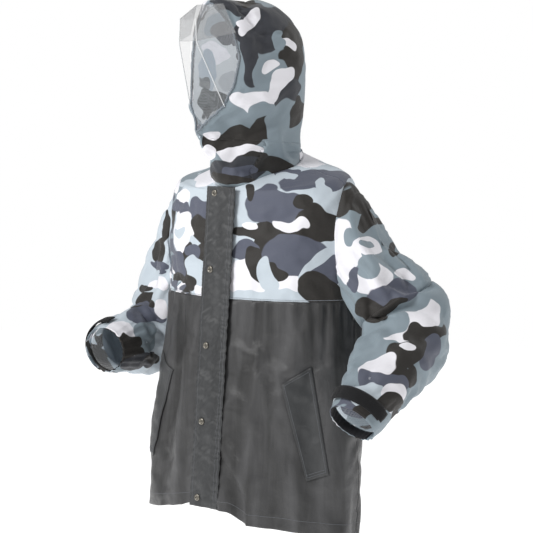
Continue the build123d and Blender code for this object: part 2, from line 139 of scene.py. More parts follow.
def mesh_from(name, points, faces, smooth_faces=True):
    """New mesh object from points in millimetres, at the origin."""
    mesh = bpy.data.meshes.new(name)
    mesh.from_pydata([tuple(Vector(p) * MM) for p in points], [], faces)
    mesh.update()
    if smooth_faces:
        mesh.polygons.foreach_set("use_smooth", [True] * len(mesh.polygons))
    obj = bpy.data.objects.new(name, mesh)
    bpy.context.scene.collection.objects.link(obj)
    return obj


def grid_faces(rows, columns, closed=False):
    """Quads of a grid of rows and columns, as indices."""
    faces = []
    for r in range(rows - 1):
        for c in range(columns if closed else columns - 1):
            n = (c + 1) % columns
            faces.append((r * columns + c, r * columns + n, (r + 1) * columns + n, (r + 1) * columns + c))
    return faces


def weld(obj, distance):
    """Merge points that coincide."""
    bm = bmesh.new()
    bm.from_mesh(obj.data)
    bmesh.ops.remove_doubles(bm, verts=bm.verts, dist=distance * MM)
    loose = [v for v in bm.verts if not v.link_faces]
    bmesh.ops.delete(bm, geom=loose, context="VERTS")
    bm.to_mesh(obj.data)
    bm.free()


def crumple(obj, hold, expand, bend):
    """Let the cloth grow a little against its pins, so that it buckles as sewn cloth does."""
    group = obj.vertex_groups.new(name="hold")
    for vertex in obj.data.vertices:
        group.add([vertex.index], max(0.0, min(1.0, hold(vertex.co / MM))), "REPLACE")
    clear()
    bpy.context.view_layer.objects.active = obj
    obj.select_set(True)
    cloth = obj.modifiers.new("cloth", "CLOTH")
    cloth.settings.quality = 5
    cloth.settings.mass = 0.12
    cloth.settings.tension_stiffness = 14.0
    cloth.settings.compression_stiffness = 14.0
    cloth.settings.shear_stiffness = 7.0
    cloth.settings.bending_stiffness = bend
    cloth.settings.shrink_min = -expand
    cloth.settings.vertex_group_mass = "hold"
    cloth.settings.pin_stiffness = 1.0
    cloth.settings.effector_weights.gravity = 0.0
    cloth.collision_settings.use_collision = False
    cloth.point_cache.frame_start = 1
    cloth.point_cache.frame_end = 20
    scene = bpy.context.scene
    for number in range(1, (20) + 1):
        scene.frame_set(number)
    bpy.ops.object.modifier_apply(modifier=cloth.name)
    scene.frame_set(1)
    obj.vertex_groups.clear()


def relax(obj, factor, rounds):
    """Smooth a mesh a little, leaving its open edges where they are."""
    bm = bmesh.new()
    bm.from_mesh(obj.data)
    inner = [v for v in bm.verts if not v.is_boundary]
    for _ in range(rounds):
        bmesh.ops.smooth_vert(
            bm, verts=inner, factor=factor, use_axis_x=True, use_axis_y=True, use_axis_z=True)
    bm.to_mesh(obj.data)
    bm.free()


def part_of(obj, name, keep):
    """Copy of the faces whose centre passes a test, as an object of its own."""
    mesh = obj.data.copy()
    part = bpy.data.objects.new(name, mesh)
    bpy.context.scene.collection.objects.link(part)
    bm = bmesh.new()
    bm.from_mesh(mesh)
    gone = [f for f in bm.faces if not keep(f.calc_center_median() / MM)]
    bmesh.ops.delete(bm, geom=gone, context="FACES")
    bm.to_mesh(mesh)
    bm.free()
    return part


def rows_of(obj, name, first, last):
    """Copy of the faces from one index up to another, as an object of its own."""
    mesh = obj.data.copy()
    part = bpy.data.objects.new(name, mesh)
    bpy.context.scene.collection.objects.link(part)
    bm = bmesh.new()
    bm.from_mesh(mesh)
    gone = [f for f in bm.faces if not first <= f.index < last]
    bmesh.ops.delete(bm, geom=gone, context="FACES")
    bm.to_mesh(mesh)
    bm.free()
    return part


def thicken(obj, thickness=CLOTH, offset=-1.0):
    """Give a cloth surface its thickness, on its inner side."""
    clear()
    bpy.context.view_layer.objects.active = obj
    obj.select_set(True)
    solid = obj.modifiers.new("thickness", "SOLIDIFY")
    solid.thickness = thickness * MM
    solid.offset = offset
    bpy.ops.object.modifier_apply(modifier=solid.name)
    return obj


def keep_rest(obj):
    """Store where the cloth lies at rest, so that a print stays put when the piece bends."""
    rest = obj.data.attributes.new("rest", "FLOAT_VECTOR", "POINT")
    flat = [0.0] * (3 * len(obj.data.vertices))
    obj.data.vertices.foreach_get("co", flat)
    rest.data.foreach_set("vector", flat)


def finish_piece(obj, material, body, nodes):
    """Material, body, and the CAD nodes that a rigid piece stands for."""
    keep_rest(obj)
    obj.data.materials.clear()
    obj.data.materials.append(material)
    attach(obj, body)
    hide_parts(*nodes)


# ---------------------------------------------------------------------------------------------
# Materials: thin taffeta, plain and printed, mesh, clear film, webbing, thread and metal.
# The print is dyed into the cloth in four tones and follows each piece's shape as stored at rest.
# ---------------------------------------------------------------------------------------------
def linear(r, g, b):
    """Linear colour of an 8-bit sRGB colour."""
    shades = [((c / 255 + 0.055) / 1.055) ** 2.4 if c > 10 else c / 255 / 12.92 for c in (r, g, b)]
    return (*shades, 1.0)


WHITE = linear(226, 225, 230)
LIGHT = linear(184, 194, 202)
MIDDLE = linear(126, 139, 147)
SLATE = linear(80, 84, 98)
COAL = linear(48, 50, 56)
DARK = linear(36, 33, 30)


def new_group(name, inputs, outputs):
    """Empty shader group with its sockets, its input node and its output node."""
    group = bpy.data.node_groups.new(name, "ShaderNodeTree")
    for socket, kind, default in inputs:
        item = group.interface.new_socket(name=socket, in_out="INPUT", socket_type=kind)
        if default is not None:
            item.default_value = default
    for socket, kind in outputs:
        group.interface.new_socket(name=socket, in_out="OUTPUT", socket_type=kind)
    entry = group.nodes.new("NodeGroupInput")
    leave = group.nodes.new("NodeGroupOutput")
    return group, entry, leave


def camouflage_group():
    """Printed lobes in four layers over a mid blue-grey: light, white, slate and brown-black."""
    group, entry, leave = new_group(
        "camouflage", [("Vector", "NodeSocketVector", None), ("Stretch", "NodeSocketFloat", 2.0)],
        [("Color", "NodeSocketColor")])
    nodes, links = group.nodes, group.links
    scale = nodes.new("ShaderNodeCombineXYZ")
    scale.inputs["X"].default_value = 1.0
    scale.inputs["Y"].default_value = 1.0
    links.new(entry.outputs["Stretch"], scale.inputs["Z"])
    place = nodes.new("ShaderNodeVectorMath")
    place.operation = "MULTIPLY"
    links.new(entry.outputs["Vector"], place.inputs[0])
    links.new(scale.outputs["Vector"], place.inputs[1])
    layers = [
        (LIGHT, 8.0, 0.50, 0.0), (WHITE, 9.5, 0.575, 3.7),
        (SLATE, 8.5, 0.545, 8.1), (DARK, 10.5, 0.565, 13.9),
    ]
    last = None
    for colour, size, edge, offset in layers:
        shift = nodes.new("ShaderNodeVectorMath")
        shift.operation = "ADD"
        shift.inputs[1].default_value = (offset, offset * 0.7, offset * 1.3)
        links.new(place.outputs["Vector"], shift.inputs[0])
        blobs = nodes.new("ShaderNodeTexNoise")
        blobs.inputs["Scale"].default_value = size
        blobs.inputs["Detail"].default_value = 2.0
        blobs.inputs["Roughness"].default_value = 0.42
        blobs.inputs["Distortion"].default_value = 0.9
        links.new(shift.outputs["Vector"], blobs.inputs["Vector"])
        ramp = nodes.new("ShaderNodeMapRange")
        ramp.inputs["From Min"].default_value = edge
        ramp.inputs["From Max"].default_value = edge + 0.008
        links.new(blobs.outputs["Fac"], ramp.inputs["Value"])
        mix = nodes.new("ShaderNodeMix")
        mix.data_type = "RGBA"
        links.new(ramp.outputs["Result"], mix.inputs["Factor"])
        if last is None:
            mix.inputs["A"].default_value = MIDDLE
        else:
            links.new(last, mix.inputs["A"])
        mix.inputs["B"].default_value = colour
        last = mix.outputs["Result"]
    links.new(last, leave.inputs["Color"])
    return group


def weave_group():
    """Plain weave as a height: two crossed sets of threads."""
    group, entry, leave = new_group(
        "weave", [("Vector", "NodeSocketVector", None), ("Pitch", "NodeSocketFloat", 900.0)],
        [("Height", "NodeSocketFloat")])
    nodes, links = group.nodes, group.links
    waves = []
    for direction in ("X", "Z"):
        wave = nodes.new("ShaderNodeTexWave")
        wave.bands_direction = direction
        wave.inputs["Distortion"].default_value = 0.4
        links.new(entry.outputs["Vector"], wave.inputs["Vector"])
        links.new(entry.outputs["Pitch"], wave.inputs["Scale"])
        waves.append(wave.outputs["Fac"])
    both = nodes.new("ShaderNodeMath")
    both.operation = "MULTIPLY"
    links.new(waves[0], both.inputs[0])
    links.new(waves[1], both.inputs[1])
    links.new(both.outputs["Value"], leave.inputs["Height"])
    return group


def mesh_group():
    """Honeycomb net: 1 on the threads and 0 in the holes."""
    group, entry, leave = new_group(
        "net", [("Vector", "NodeSocketVector", None), ("Density", "NodeSocketFloat", 330.0),
                ("Thread", "NodeSocketFloat", 0.16)],
        [("Mask", "NodeSocketFloat")])
    nodes, links = group.nodes, group.links
    cells = nodes.new("ShaderNodeTexVoronoi")
    cells.feature = "DISTANCE_TO_EDGE"
    cells.inputs["Randomness"].default_value = 0.25
    links.new(entry.outputs["Vector"], cells.inputs["Vector"])
    links.new(entry.outputs["Density"], cells.inputs["Scale"])
    edge = nodes.new("ShaderNodeMath")
    edge.operation = "LESS_THAN"
    links.new(cells.outputs["Distance"], edge.inputs[0])
    links.new(entry.outputs["Thread"], edge.inputs[1])
    links.new(edge.outputs["Value"], leave.inputs["Mask"])
    return group


CAMOUFLAGE = camouflage_group()
WEAVE = weave_group()
NET = mesh_group()


def lobe_group():
    """One printed lobe: an ellipsoid of a colour over whatever lies below it."""
    group, entry, leave = new_group(
        "lobe", [("Vector", "NodeSocketVector", None), ("Below", "NodeSocketColor", None),
                 ("Color", "NodeSocketColor", None), ("Centre", "NodeSocketVector", None),
                 ("Radii", "NodeSocketVector", None), ("Tilt", "NodeSocketFloat", 0.0)],
        [("Color", "NodeSocketColor")])
    nodes, links = group.nodes, group.links
    place = nodes.new("ShaderNodeVectorMath")
    place.operation = "SUBTRACT"
    links.new(entry.outputs["Vector"], place.inputs[0])
    links.new(entry.outputs["Centre"], place.inputs[1])
    turned = nodes.new("ShaderNodeVectorRotate")
    turned.rotation_type = "Y_AXIS"
    links.new(place.outputs["Vector"], turned.inputs["Vector"])
    links.new(entry.outputs["Tilt"], turned.inputs["Angle"])
    sized = nodes.new("ShaderNodeVectorMath")
    sized.operation = "DIVIDE"
    links.new(turned.outputs["Vector"], sized.inputs[0])
    links.new(entry.outputs["Radii"], sized.inputs[1])
    length = nodes.new("ShaderNodeVectorMath")
    length.operation = "LENGTH"
    links.new(sized.outputs["Vector"], length.inputs[0])
    edge = nodes.new("ShaderNodeMapRange")
    edge.inputs["From Min"].default_value = 1.02
    edge.inputs["From Max"].default_value = 0.98
    links.new(length.outputs["Value"], edge.inputs["Value"])
    mix = nodes.new("ShaderNodeMix")
    mix.data_type = "RGBA"
    links.new(edge.outputs["Result"], mix.inputs["Factor"])
    links.new(entry.outputs["Below"], mix.inputs["A"])
    links.new(entry.outputs["Color"], mix.inputs["B"])
    links.new(mix.outputs["Result"], leave.inputs["Color"])
    return group


def layout_group():
    """Rest place in the frame the print is laid out in, with wandering edges."""
    group, entry, leave = new_group(
        "layout", [("Vector", "NodeSocketVector", None)], [("Vector", "NodeSocketVector")])
    nodes, links = group.nodes, group.links
    turned = nodes.new("ShaderNodeVectorRotate")
    turned.rotation_type = "Z_AXIS"
    turned.inputs["Angle"].default_value = -LAYOUT
    links.new(entry.outputs["Vector"], turned.inputs["Vector"])
    last = turned.outputs["Vector"]
    for size, reach in ((17.0, 0.034), (42.0, 0.012)):
        wander = nodes.new("ShaderNodeTexNoise")
        wander.inputs["Scale"].default_value = size
        wander.inputs["Detail"].default_value = 0.0
        links.new(turned.outputs["Vector"], wander.inputs["Vector"])
        centred = nodes.new("ShaderNodeVectorMath")
        centred.operation = "SUBTRACT"
        centred.inputs[1].default_value = (0.5, 0.5, 0.5)
        links.new(wander.outputs["Color"], centred.inputs[0])
        moved = nodes.new("ShaderNodeVectorMath")
        moved.operation = "MULTIPLY_ADD"
        moved.inputs[1].default_value = (reach, reach, reach)
        links.new(centred.outputs["Vector"], moved.inputs[0])
        links.new(last, moved.inputs[2])
        last = moved.outputs["Vector"]
    links.new(last, leave.inputs["Vector"])
    return group


LAYOUT = math.radians(40.0)
LOBE = lobe_group()
LAYOUT_FRAME = layout_group()


def new_material(name, roughness, sheen, specular, rest=False):
    """Material with a Principled shader, and object or rest coordinates ready to use."""
    material = bpy.data.materials.new(name)
    material.use_nodes = True
    nodes = material.node_tree.nodes
    shader = nodes["Principled BSDF"]
    shader.inputs["Roughness"].default_value = roughness
    shader.inputs["Sheen Weight"].default_value = sheen
    shader.inputs["Specular IOR Level"].default_value = specular
    if rest:
        place = nodes.new("ShaderNodeAttribute")
        place.attribute_name = "rest"
        return material, shader, place.outputs["Vector"]
    place = nodes.new("ShaderNodeTexCoord")
    return material, shader, place.outputs["Object"]


def add_weave(material, shader, place, pitch, strength):
    """Fine weave and soft creasing as bump on a material."""
    nodes, links = material.node_tree.nodes, material.node_tree.links
    weave = nodes.new("ShaderNodeGroup")
    weave.node_tree = WEAVE
    weave.inputs["Pitch"].default_value = pitch
    links.new(place, weave.inputs["Vector"])
    bump = nodes.new("ShaderNodeBump")
    bump.inputs["Strength"].default_value = strength
    bump.inputs["Distance"].default_value = 0.0003
    links.new(weave.outputs["Height"], bump.inputs["Height"])
    crease = nodes.new("ShaderNodeTexNoise")
    crease.inputs["Scale"].default_value = 38.0
    crease.inputs["Detail"].default_value = 4.0
    crease.inputs["Distortion"].default_value = 0.6
    links.new(place, crease.inputs["Vector"])
    soft = nodes.new("ShaderNodeBump")
    soft.inputs["Strength"].default_value = 0.35
    soft.inputs["Distance"].default_value = 0.004
    links.new(crease.outputs["Fac"], soft.inputs["Height"])
    links.new(bump.outputs["Normal"], soft.inputs["Normal"])
    links.new(soft.outputs["Normal"], shader.inputs["Normal"])


def surface_depth(target, u, w):
    """How far forward along the layout's own axis a surface lies."""
    out = Vector((math.sin(LAYOUT), -math.cos(LAYOUT), 0.0))
    across = Vector((math.cos(LAYOUT), math.sin(LAYOUT), 0.0))
    start = (across * u + Vector((0, 0, w))) * MM + out * 2.0
    hit, spot, _, _ = target.ray_cast(start, -out)
    return spot.dot(out) / MM if hit else None


def printed(name, corner, base, rows, target, depth=70.0, net=False):
    """Printed cloth: lobes set out in rows of tone, right of and below a corner, half-sizes and tilt. With
    net, pale net threads go over the print and the colour also glows as painted light.
    """
    material, shader, place = new_material(name, 0.62, 0.15, 0.35, rest=True)
    nodes, links = material.node_tree.nodes, material.node_tree.links
    layout = nodes.new("ShaderNodeGroup")
    layout.node_tree = LAYOUT_FRAME
    links.new(place, layout.inputs["Vector"])
    ground = nodes.new("ShaderNodeGroup")
    ground.node_tree = CAMOUFLAGE
    ground.inputs["Stretch"].default_value = 1.7
    links.new(place, ground.inputs["Vector"])
    last = ground.outputs["Color"]
    for tone, right, down, half_width, half_height, tilt in [base] + rows:
        u, w = corner[0] + right, corner[1] - down
        deep = surface_depth(target, u, w)
        if deep is None:
            deep = surface_depth(target, u + (20 if u < 0 else -20), w - 15) or 0.0
        lobe = nodes.new("ShaderNodeGroup")
        lobe.node_tree = LOBE
        lobe.inputs["Color"].default_value = tone
        lobe.inputs["Centre"].default_value = Vector((u, -deep, w)) * MM
        lobe.inputs["Radii"].default_value = Vector((half_width * 1.12 + 2.0, max(depth, half_width * 1.1),
                                                     half_height * 1.12 + 2.0)) * MM
        lobe.inputs["Tilt"].default_value = math.radians(-tilt)
        links.new(layout.outputs["Vector"], lobe.inputs["Vector"])
        links.new(last, lobe.inputs["Below"])
        last = lobe.outputs["Color"]
    if net:
        threads = nodes.new("ShaderNodeGroup")
        threads.node_tree = NET
        links.new(place, threads.inputs["Vector"])
        mix = nodes.new("ShaderNodeMix")
        mix.data_type = "RGBA"
        mix.inputs["B"].default_value = linear(186, 188, 190)
        thin = nodes.new("ShaderNodeMath")
        thin.operation = "MULTIPLY"
        thin.inputs[1].default_value = 0.3
        links.new(threads.outputs["Mask"], thin.inputs[0])
        links.new(thin.outputs["Value"], mix.inputs["Factor"])
        links.new(last, mix.inputs["A"])
        last = mix.outputs["Result"]
        # Painted light: the colour is also emitted at strength 0.5, so the lining glows and the shade inside
        # the hood is lifted.
        links.new(last, shader.inputs["Emission Color"])
        shader.inputs["Emission Strength"].default_value = 0.5
    links.new(last, shader.inputs["Base Color"])
    add_weave(material, shader, place, 900.0, 0.25)
    return material


def plain_cloth(name, colour, roughness, pitch=900.0, sheen=0.1, specular=0.35, strength=0.25):
    """Cloth of one colour."""
    material, shader, place = new_material(name, roughness, sheen, specular)
    shader.inputs["Base Color"].default_value = colour
    add_weave(material, shader, place, pitch, strength)
    return material


def taffeta(name, dark, light, roughness):
    """Plain woven cloth with a painted sheen: its colour runs from a dark to a light tone in long vertical
    bands, a painted highlight.
    """
    material, shader, place = new_material(name, roughness, 0.0, 0.3)
    nodes, links = material.node_tree.nodes, material.node_tree.links
    stretch = nodes.new("ShaderNodeMapping")
    stretch.inputs["Scale"].default_value = (26.0, 26.0, 3.5)
    links.new(place, stretch.inputs["Vector"])
    painted_sheen_streaks = nodes.new("ShaderNodeTexNoise")
    painted_sheen_streaks.inputs["Scale"].default_value = 1.0
    painted_sheen_streaks.inputs["Detail"].default_value = 4.0
    painted_sheen_streaks.inputs["Distortion"].default_value = 0.6
    links.new(stretch.outputs["Vector"], painted_sheen_streaks.inputs["Vector"])
    painted_sheen_mask = nodes.new("ShaderNodeMapRange")
    painted_sheen_mask.inputs["From Min"].default_value = 0.36
    painted_sheen_mask.inputs["From Max"].default_value = 0.66
    links.new(painted_sheen_streaks.outputs["Fac"], painted_sheen_mask.inputs["Value"])
    # Painted highlight: in the bands the base colour goes from the dark tone to the light one, standing in
    # for the cloth's sheen.
    mix = nodes.new("ShaderNodeMix")
    mix.data_type = "RGBA"
    mix.inputs["A"].default_value = dark
    mix.inputs["B"].default_value = light
    links.new(painted_sheen_mask.outputs["Result"], mix.inputs["Factor"])
    links.new(mix.outputs["Result"], shader.inputs["Base Color"])
    add_weave(material, shader, place, 800.0, 0.3)
    return material


def see_through(name, colour, alpha, roughness=0.6):
    """Translucent mesh or film of even cover."""
    material, shader, place = new_material(name, roughness, 0.0, 0.2)
    shader.inputs["Base Color"].default_value = colour
    shader.inputs["Alpha"].default_value = alpha
    return material


def metal(name, colour, roughness):
    """Plated metal."""
    material, shader, place = new_material(name, roughness, 0.0, 0.5)
    shader.inputs["Base Color"].default_value = colour
    shader.inputs["Metallic"].default_value = 1.0
    return material


# Both taffetas carry a painted sheen: the second, lighter tone is a painted highlight in long vertical
# bands.
GREY_CLOTH = taffeta("grey_taffeta", linear(50, 50, 50), linear(76, 76, 77), 0.36)
FLAP_CLOTH = taffeta("flap_taffeta", linear(54, 55, 56), linear(68, 69, 70), 0.4)
BLACK_WEB = plain_cloth("black_webbing", linear(22, 22, 24), 0.8, 500.0, 0.1, 0.2, 0.5)
ELASTIC = plain_cloth("elastic", linear(30, 30, 33), 0.85, 300.0, 0.1, 0.2, 0.6)
THREAD = plain_cloth("thread", linear(96, 98, 102), 0.7)
PALE_THREAD = plain_cloth("pale_thread", linear(140, 146, 154), 0.7)
BINDING = plain_cloth("binding", linear(120, 128, 136), 0.7)
VEIL_SEAM = plain_cloth("veil_seam", linear(205, 207, 208), 0.6)
VEIL = see_through("veil_mesh", linear(190, 191, 192), 0.055)
BRIM = see_through("brim_film", linear(176, 177, 178), 0.34, 0.4)
SNAP = metal("snap_plate", linear(128, 124, 116), 0.35)
ZIP = plain_cloth("zip_black", linear(20, 20, 22), 0.6)


# ---------------------------------------------------------------------------------------------
# Trunk: one cloth surface from hem to neck, cut into the sewn pieces once it has buckled.
# Grey taffeta below, printed yoke above; three panels each, joined at the sides.
# ---------------------------------------------------------------------------------------------
def armhole_distance(point):
    """Place of a point against the armhole seam: under 1 inside it, 1 on it."""
    return math.hypot((point[1] - ARMHOLE[0]) / ARMHOLE_REACH[0], (point[2] - ARMHOLE[1]) / ARMHOLE_REACH[1])


def trunk_folds(point, angle):
    """How far the cloth stands out from its section before it buckles."""
    x, y, z = point
    out = 1.4 * wobble(point, 22.0, 1)
    below = SEAM_LEVEL - z
    if below > 0:
        gather = math.sin(angle * 52.0 + 4.0 * wobble((x, y, 0.0), 60.0, 2))
        gather += 0.6 * math.sin(angle * 27.0 + 3.0 * wobble((x, y, z * 0.3), 70.0, 6))
        reach = 55.0 + 45.0 * wobble((x, y, 0.0), 45.0, 7)
        out += 4.2 * gather * math.exp(-below / reach) * smooth(below / 8.0)
        drop = smooth(below / 260.0)
        out += drop * 7.5 * math.sin(angle * 5.0 + 0.7 + 1.6 * wobble(point, 260.0, 3))
        out += drop * 4.5 * math.sin(angle * 11.0 + 2.6 * wobble(point, 160.0, 4))
        out += 4.5 * wobble((x + z * 0.5, y, z * 0.55), 75.0, 8) * smooth((below - 190.0) / 120.0)
        press = (angle - 0.41 * (1 if x > 0 else -1)) * 170.0
        out += 3.0 * smooth((below - 60.0) / 60.0) * math.exp(-(press / 4.5) ** 2)
    else:
        across = (z - SEAM_LEVEL) / 220.0
        drag = 3.0 * wobble((x * 0.45, y * 0.45, z * 1.5), 70.0, 5)
        out += drag * smooth(across * 3.0) * smooth(3.4 - across * 4)
    return out


def hem_rise(x):
    """How much the hem rises toward the front opening."""
    return 19.0 * (smooth((98.0 - x) / 48.0) if x > 0 else smooth((215.0 + x) / 175.0))


trunk_places = spread(TRUNK, GRID)
trunk_columns = round(1220.0 / GRID)
trunk_points = []
for place in trunk_places:
    row = spline(TRUNK, place)
    start = math.asin(min(OPENING / row[4], 1.0))
    for c in range(trunk_columns + 1):
        turn = start + (2 * math.pi - 2 * start) * c / trunk_columns
        base = ring_point(row, turn)
        base = base.lerp(prow(base.copy(), row), smooth(place - len(TRUNK) + 2))
        edge = min(1.0, min(c, trunk_columns - c) / 4.0)
        signed = turn if turn < math.pi else turn - 2 * math.pi
        lift = trunk_folds(base, signed) * edge * smooth((len(TRUNK) - 1 - place) * 1.5)
        outward = Vector((base.x, (base.y + 15.0) * 2.0, 0.0)).normalized()
        if base.z < -560.0 and base.y < 0:
            base.z += hem_rise(base.x) * min(1.0, (-560.0 - base.z) / 141.0)
        trunk_points.append(base + outward * lift)

trunk = mesh_from("trunk", trunk_points, grid_faces(len(trunk_places), trunk_columns + 1))


def hold_trunk(point):
    """Firmly held at the seams and the closure, lightly elsewhere."""
    x, y, z = point
    seam = math.exp(-((z - SEAM_LEVEL) / 7.0) ** 2)
    arm = smooth((1.18 - armhole_distance(point)) / 0.16) if abs(x) > 150 else 0.0
    front = smooth((34.0 - abs(x)) / 10.0) if y < 0 else 0.0
    neck = smooth((z + 75.0 + 0.4 * (55.0 - y) - 40.0) / 20.0)
    return max(0.05, 0.5 * seam, arm, front, neck)


crumple(trunk, hold_trunk, 0.022, bend=0.25)
relax(trunk, 0.5, 1)


YOKE_PRINT = [
    # near front, from the neck seam down
    (SLATE, 325, 58, 66, 15, -8), (SLATE, 262, 47, 26, 8, 0), (LIGHT, 262, 54, 22, 6, 5),
    (LIGHT, 332, 66, 9, 16, -25), (WHITE, 308, 25, 30, 9, 5), (SLATE, 235, 108, 54, 30, 0),
    (DARK, 194, 84, 8, 15, 0), (DARK, 292, 106, 15, 12, 35), (DARK, 252, 160, 98, 17, 0),
    (DARK, 325, 142, 40, 27, 0), (WHITE, 268, 142, 31, 8, 4), (WHITE, 190, 145, 15, 6, 0),
    (DARK, 222, 184, 22, 14, 20), (SLATE, 278, 203, 57, 40, 0), (SLATE, 186, 198, 22, 14, 0),
    (WHITE, 192, 247, 32, 33, 0), (WHITE, 267, 258, 26, 16, 0), (DARK, 206, 218, 15, 26, -28),
    (DARK, 246, 232, 18, 12, 38), (LIGHT, 231, 240, 10, 32, -8), (LIGHT, 262, 285, 110, 10, 3),
    (SLATE, 345, 232, 24, 24, 0), (LIGHT, 328, 214, 46, 9, -40), (DARK, 332, 272, 42, 24, 28),
    # far front
    (DARK, 92, 47, 32, 7, -32), (WHITE, 113, 58, 28, 13, -30), (WHITE, 43, 78, 8, 18, 20),
    (WHITE, 60, 98, 12, 10, 0), (SLATE, 102, 122, 36, 22, 0), (SLATE, 54, 120, 15, 12, 0),
    (DARK, 98, 160, 24, 24, 0), (DARK, 101, 212, 10, 36, 0), (DARK, 66, 226, 9, 30, 15),
    (WHITE, 58, 170, 15, 42, 8), (LIGHT, 54, 169, 9, 9, 0), (SLATE, 48, 236, 13, 22, 0),
    (SLATE, 80, 212, 12, 11, 0), (LIGHT, 87, 243, 19, 17, 0), (DARK, 50, 264, 17, 6, 0),
    (DARK, 69, 266, 9, 11, 0), (WHITE, 96, 275, 15, 8, 0),
]
YOKE_CLOTH = printed("yoke_print", (-226.0, 16.0), (LIGHT, 200, 150, 205, 165, 0), YOKE_PRINT, trunk)


def in_armhole(point):
    """Inside the armhole seam, where the trunk has no cloth."""
    return abs(point[0]) > 170.0 and armhole_distance(point) < 0.9


trunk_seams = {
    "back_yoke": lambda p: p[2] > SEAM_LEVEL and p[1] > -15.0,
    "front_yoke_left": lambda p: p[2] > SEAM_LEVEL and p[1] <= -15.0 and p[0] > 0,
    "front_yoke_right": lambda p: p[2] > SEAM_LEVEL and p[1] <= -15.0 and p[0] <= 0,
    "back_panel": lambda p: p[2] <= SEAM_LEVEL and p[1] > -15.0,
    "front_panel_left": lambda p: p[2] <= SEAM_LEVEL and p[1] <= -15.0 and p[0] > 0,
    "front_panel_right": lambda p: p[2] <= SEAM_LEVEL and p[1] <= -15.0 and p[0] <= 0,
}
for name, inside in trunk_seams.items():
    panel = part_of(trunk, name + "_cloth", lambda p, test=inside: test(p) and not in_armhole(p))
    thicken(panel)
    finish_piece(panel, YOKE_CLOTH if "yoke" in name else GREY_CLOTH, "jacket", [name])


# ---------------------------------------------------------------------------------------------
# Hood and collar: one printed surface from the neck seam to the crown, open at the face.
# Thin polyester taffeta, cut as two halves sewn along the centre, lined with dark mesh,
# and sewn down to the collar band at the neck.
# ---------------------------------------------------------------------------------------------
HOOD = [
    (-126.0, -60.0, 58.0, 11.0, 96.0),
    (-160.0, -12.0, 58.0, 18.0, 92.0),
    (-198.0, 36.0, 57.0, 20.0, 93.0),
    (-206.0, 56.0, 53.0, 54.0, 95.0),
    (-184.0, 110.0, 52.0, 110.0, 101.0),
    (-170.0, 190.0, 50.0, 190.0, 107.0),
    (-169.0, 240.0, 40.0, 240.0, 99.0),
    (-168.0, 278.0, 12.0, 276.0, 74.0),
    (-166.0, 298.0, -28.0, 297.0, 44.0),
    (-140.0, 308.0, -68.0, 308.0, 16.0),
]
# Level and depth of the face opening's edge, from the chin up
FACE_EDGE = [
    (46.0, -208.0), (60.0, -199.0), (96.0, -177.0), (140.0, -160.0),
    (190.0, -151.0), (240.0, -156.0), (275.0, -164.0), (296.0, -169.0),
]
FOOT = 2.0


def face_depth(level):
    """Depth of the face opening's edge at a level."""
    for (z0, y0), (z1, y1) in zip(FACE_EDGE, FACE_EDGE[1:]):
        if z0 <= level <= z1:
            t = (level - z0) / (z1 - z0)
            return y0 + (y1 - y0) * t
    return -999.0


def hood_fold(point, angle):
    """How far the hood's cloth stands out before it buckles."""
    x, y, z = point
    out = 1.2 * wobble(point, 20.0, 11) + 2.5 * wobble(point, 70.0, 12)
    if z < 110:
        out += 3.0 * math.sin(z / 11.0 + 1.5 * math.sin(angle * 3.0)) * smooth((110.0 - z) / 60.0)
    return out


hood_places = spread(HOOD, GRID * 0.75)
hood_columns = round(680.0 / GRID / 0.9)
hood_points = []
for place in hood_places:
    row = spline(HOOD, place)
    level = (row[1] + row[3]) / 2
    depth = face_depth(row[1]) if place > FOOT else -999.0
    share = ((row[0] + row[2]) / 2 - depth) / ((row[2] - row[0]) / 2)
    start = math.acos(share) if depth > row[0] and -1 < share < 1 else 0.0
    for c in range(hood_columns + 1):
        turn = start + (2 * math.pi - 2 * start) * c / hood_columns
        base = prow(ring_point(row, turn), row)
        signed = turn if turn < math.pi else turn - 2 * math.pi
        edge = 1.0 if start == 0 else min(1.0, min(c, hood_columns - c) / 5.0)
        lift = (base.z - 190.0) * 0.9 if base.z > 190 else 0.0
        outward = Vector((base.x, base.y + 60.0, lift)).normalized()
        ends = smooth(place * 2.0) * smooth((len(HOOD) - 1 - place) * 0.8)
        hood_points.append(base + outward * hood_fold(base, signed) * edge * ends)
hood_faces = grid_faces(len(hood_places), hood_columns + 1)
cap = [(len(hood_places) - 1) * (hood_columns + 1) + c for c in range(hood_columns)]
crown = len(hood_points)
crown_front, crown_back = ring_point(HOOD[-1], 0.0), ring_point(HOOD[-1], math.pi)
hood_points.append(crown_front * 0.5 + crown_back * 0.5 + Vector((0, 0, 1.5)))
hood_faces += [(cap[i], cap[(i + 1) % len(cap)], crown) for i in range(len(cap))]
hood = mesh_from("hood_whole", hood_points, hood_faces)
weld(hood, 0.6)


def hold_hood(point):
    """Held at the neck seam, at the face edge and a little everywhere."""
    x, y, z = point
    neck = smooth((-10.0 - (z + 56.0 - 0.4 * (y + 123.0)) + 22.0) / 10.0)
    depth = face_depth(z)
    edge = smooth((depth + 16.0 - y) / 8.0) if depth > -900 else 0.0
    return max(0.04, neck, edge * 0.9)


crumple(hood, hold_hood, 0.035, bend=0.2)
relax(hood, 0.4, 1)


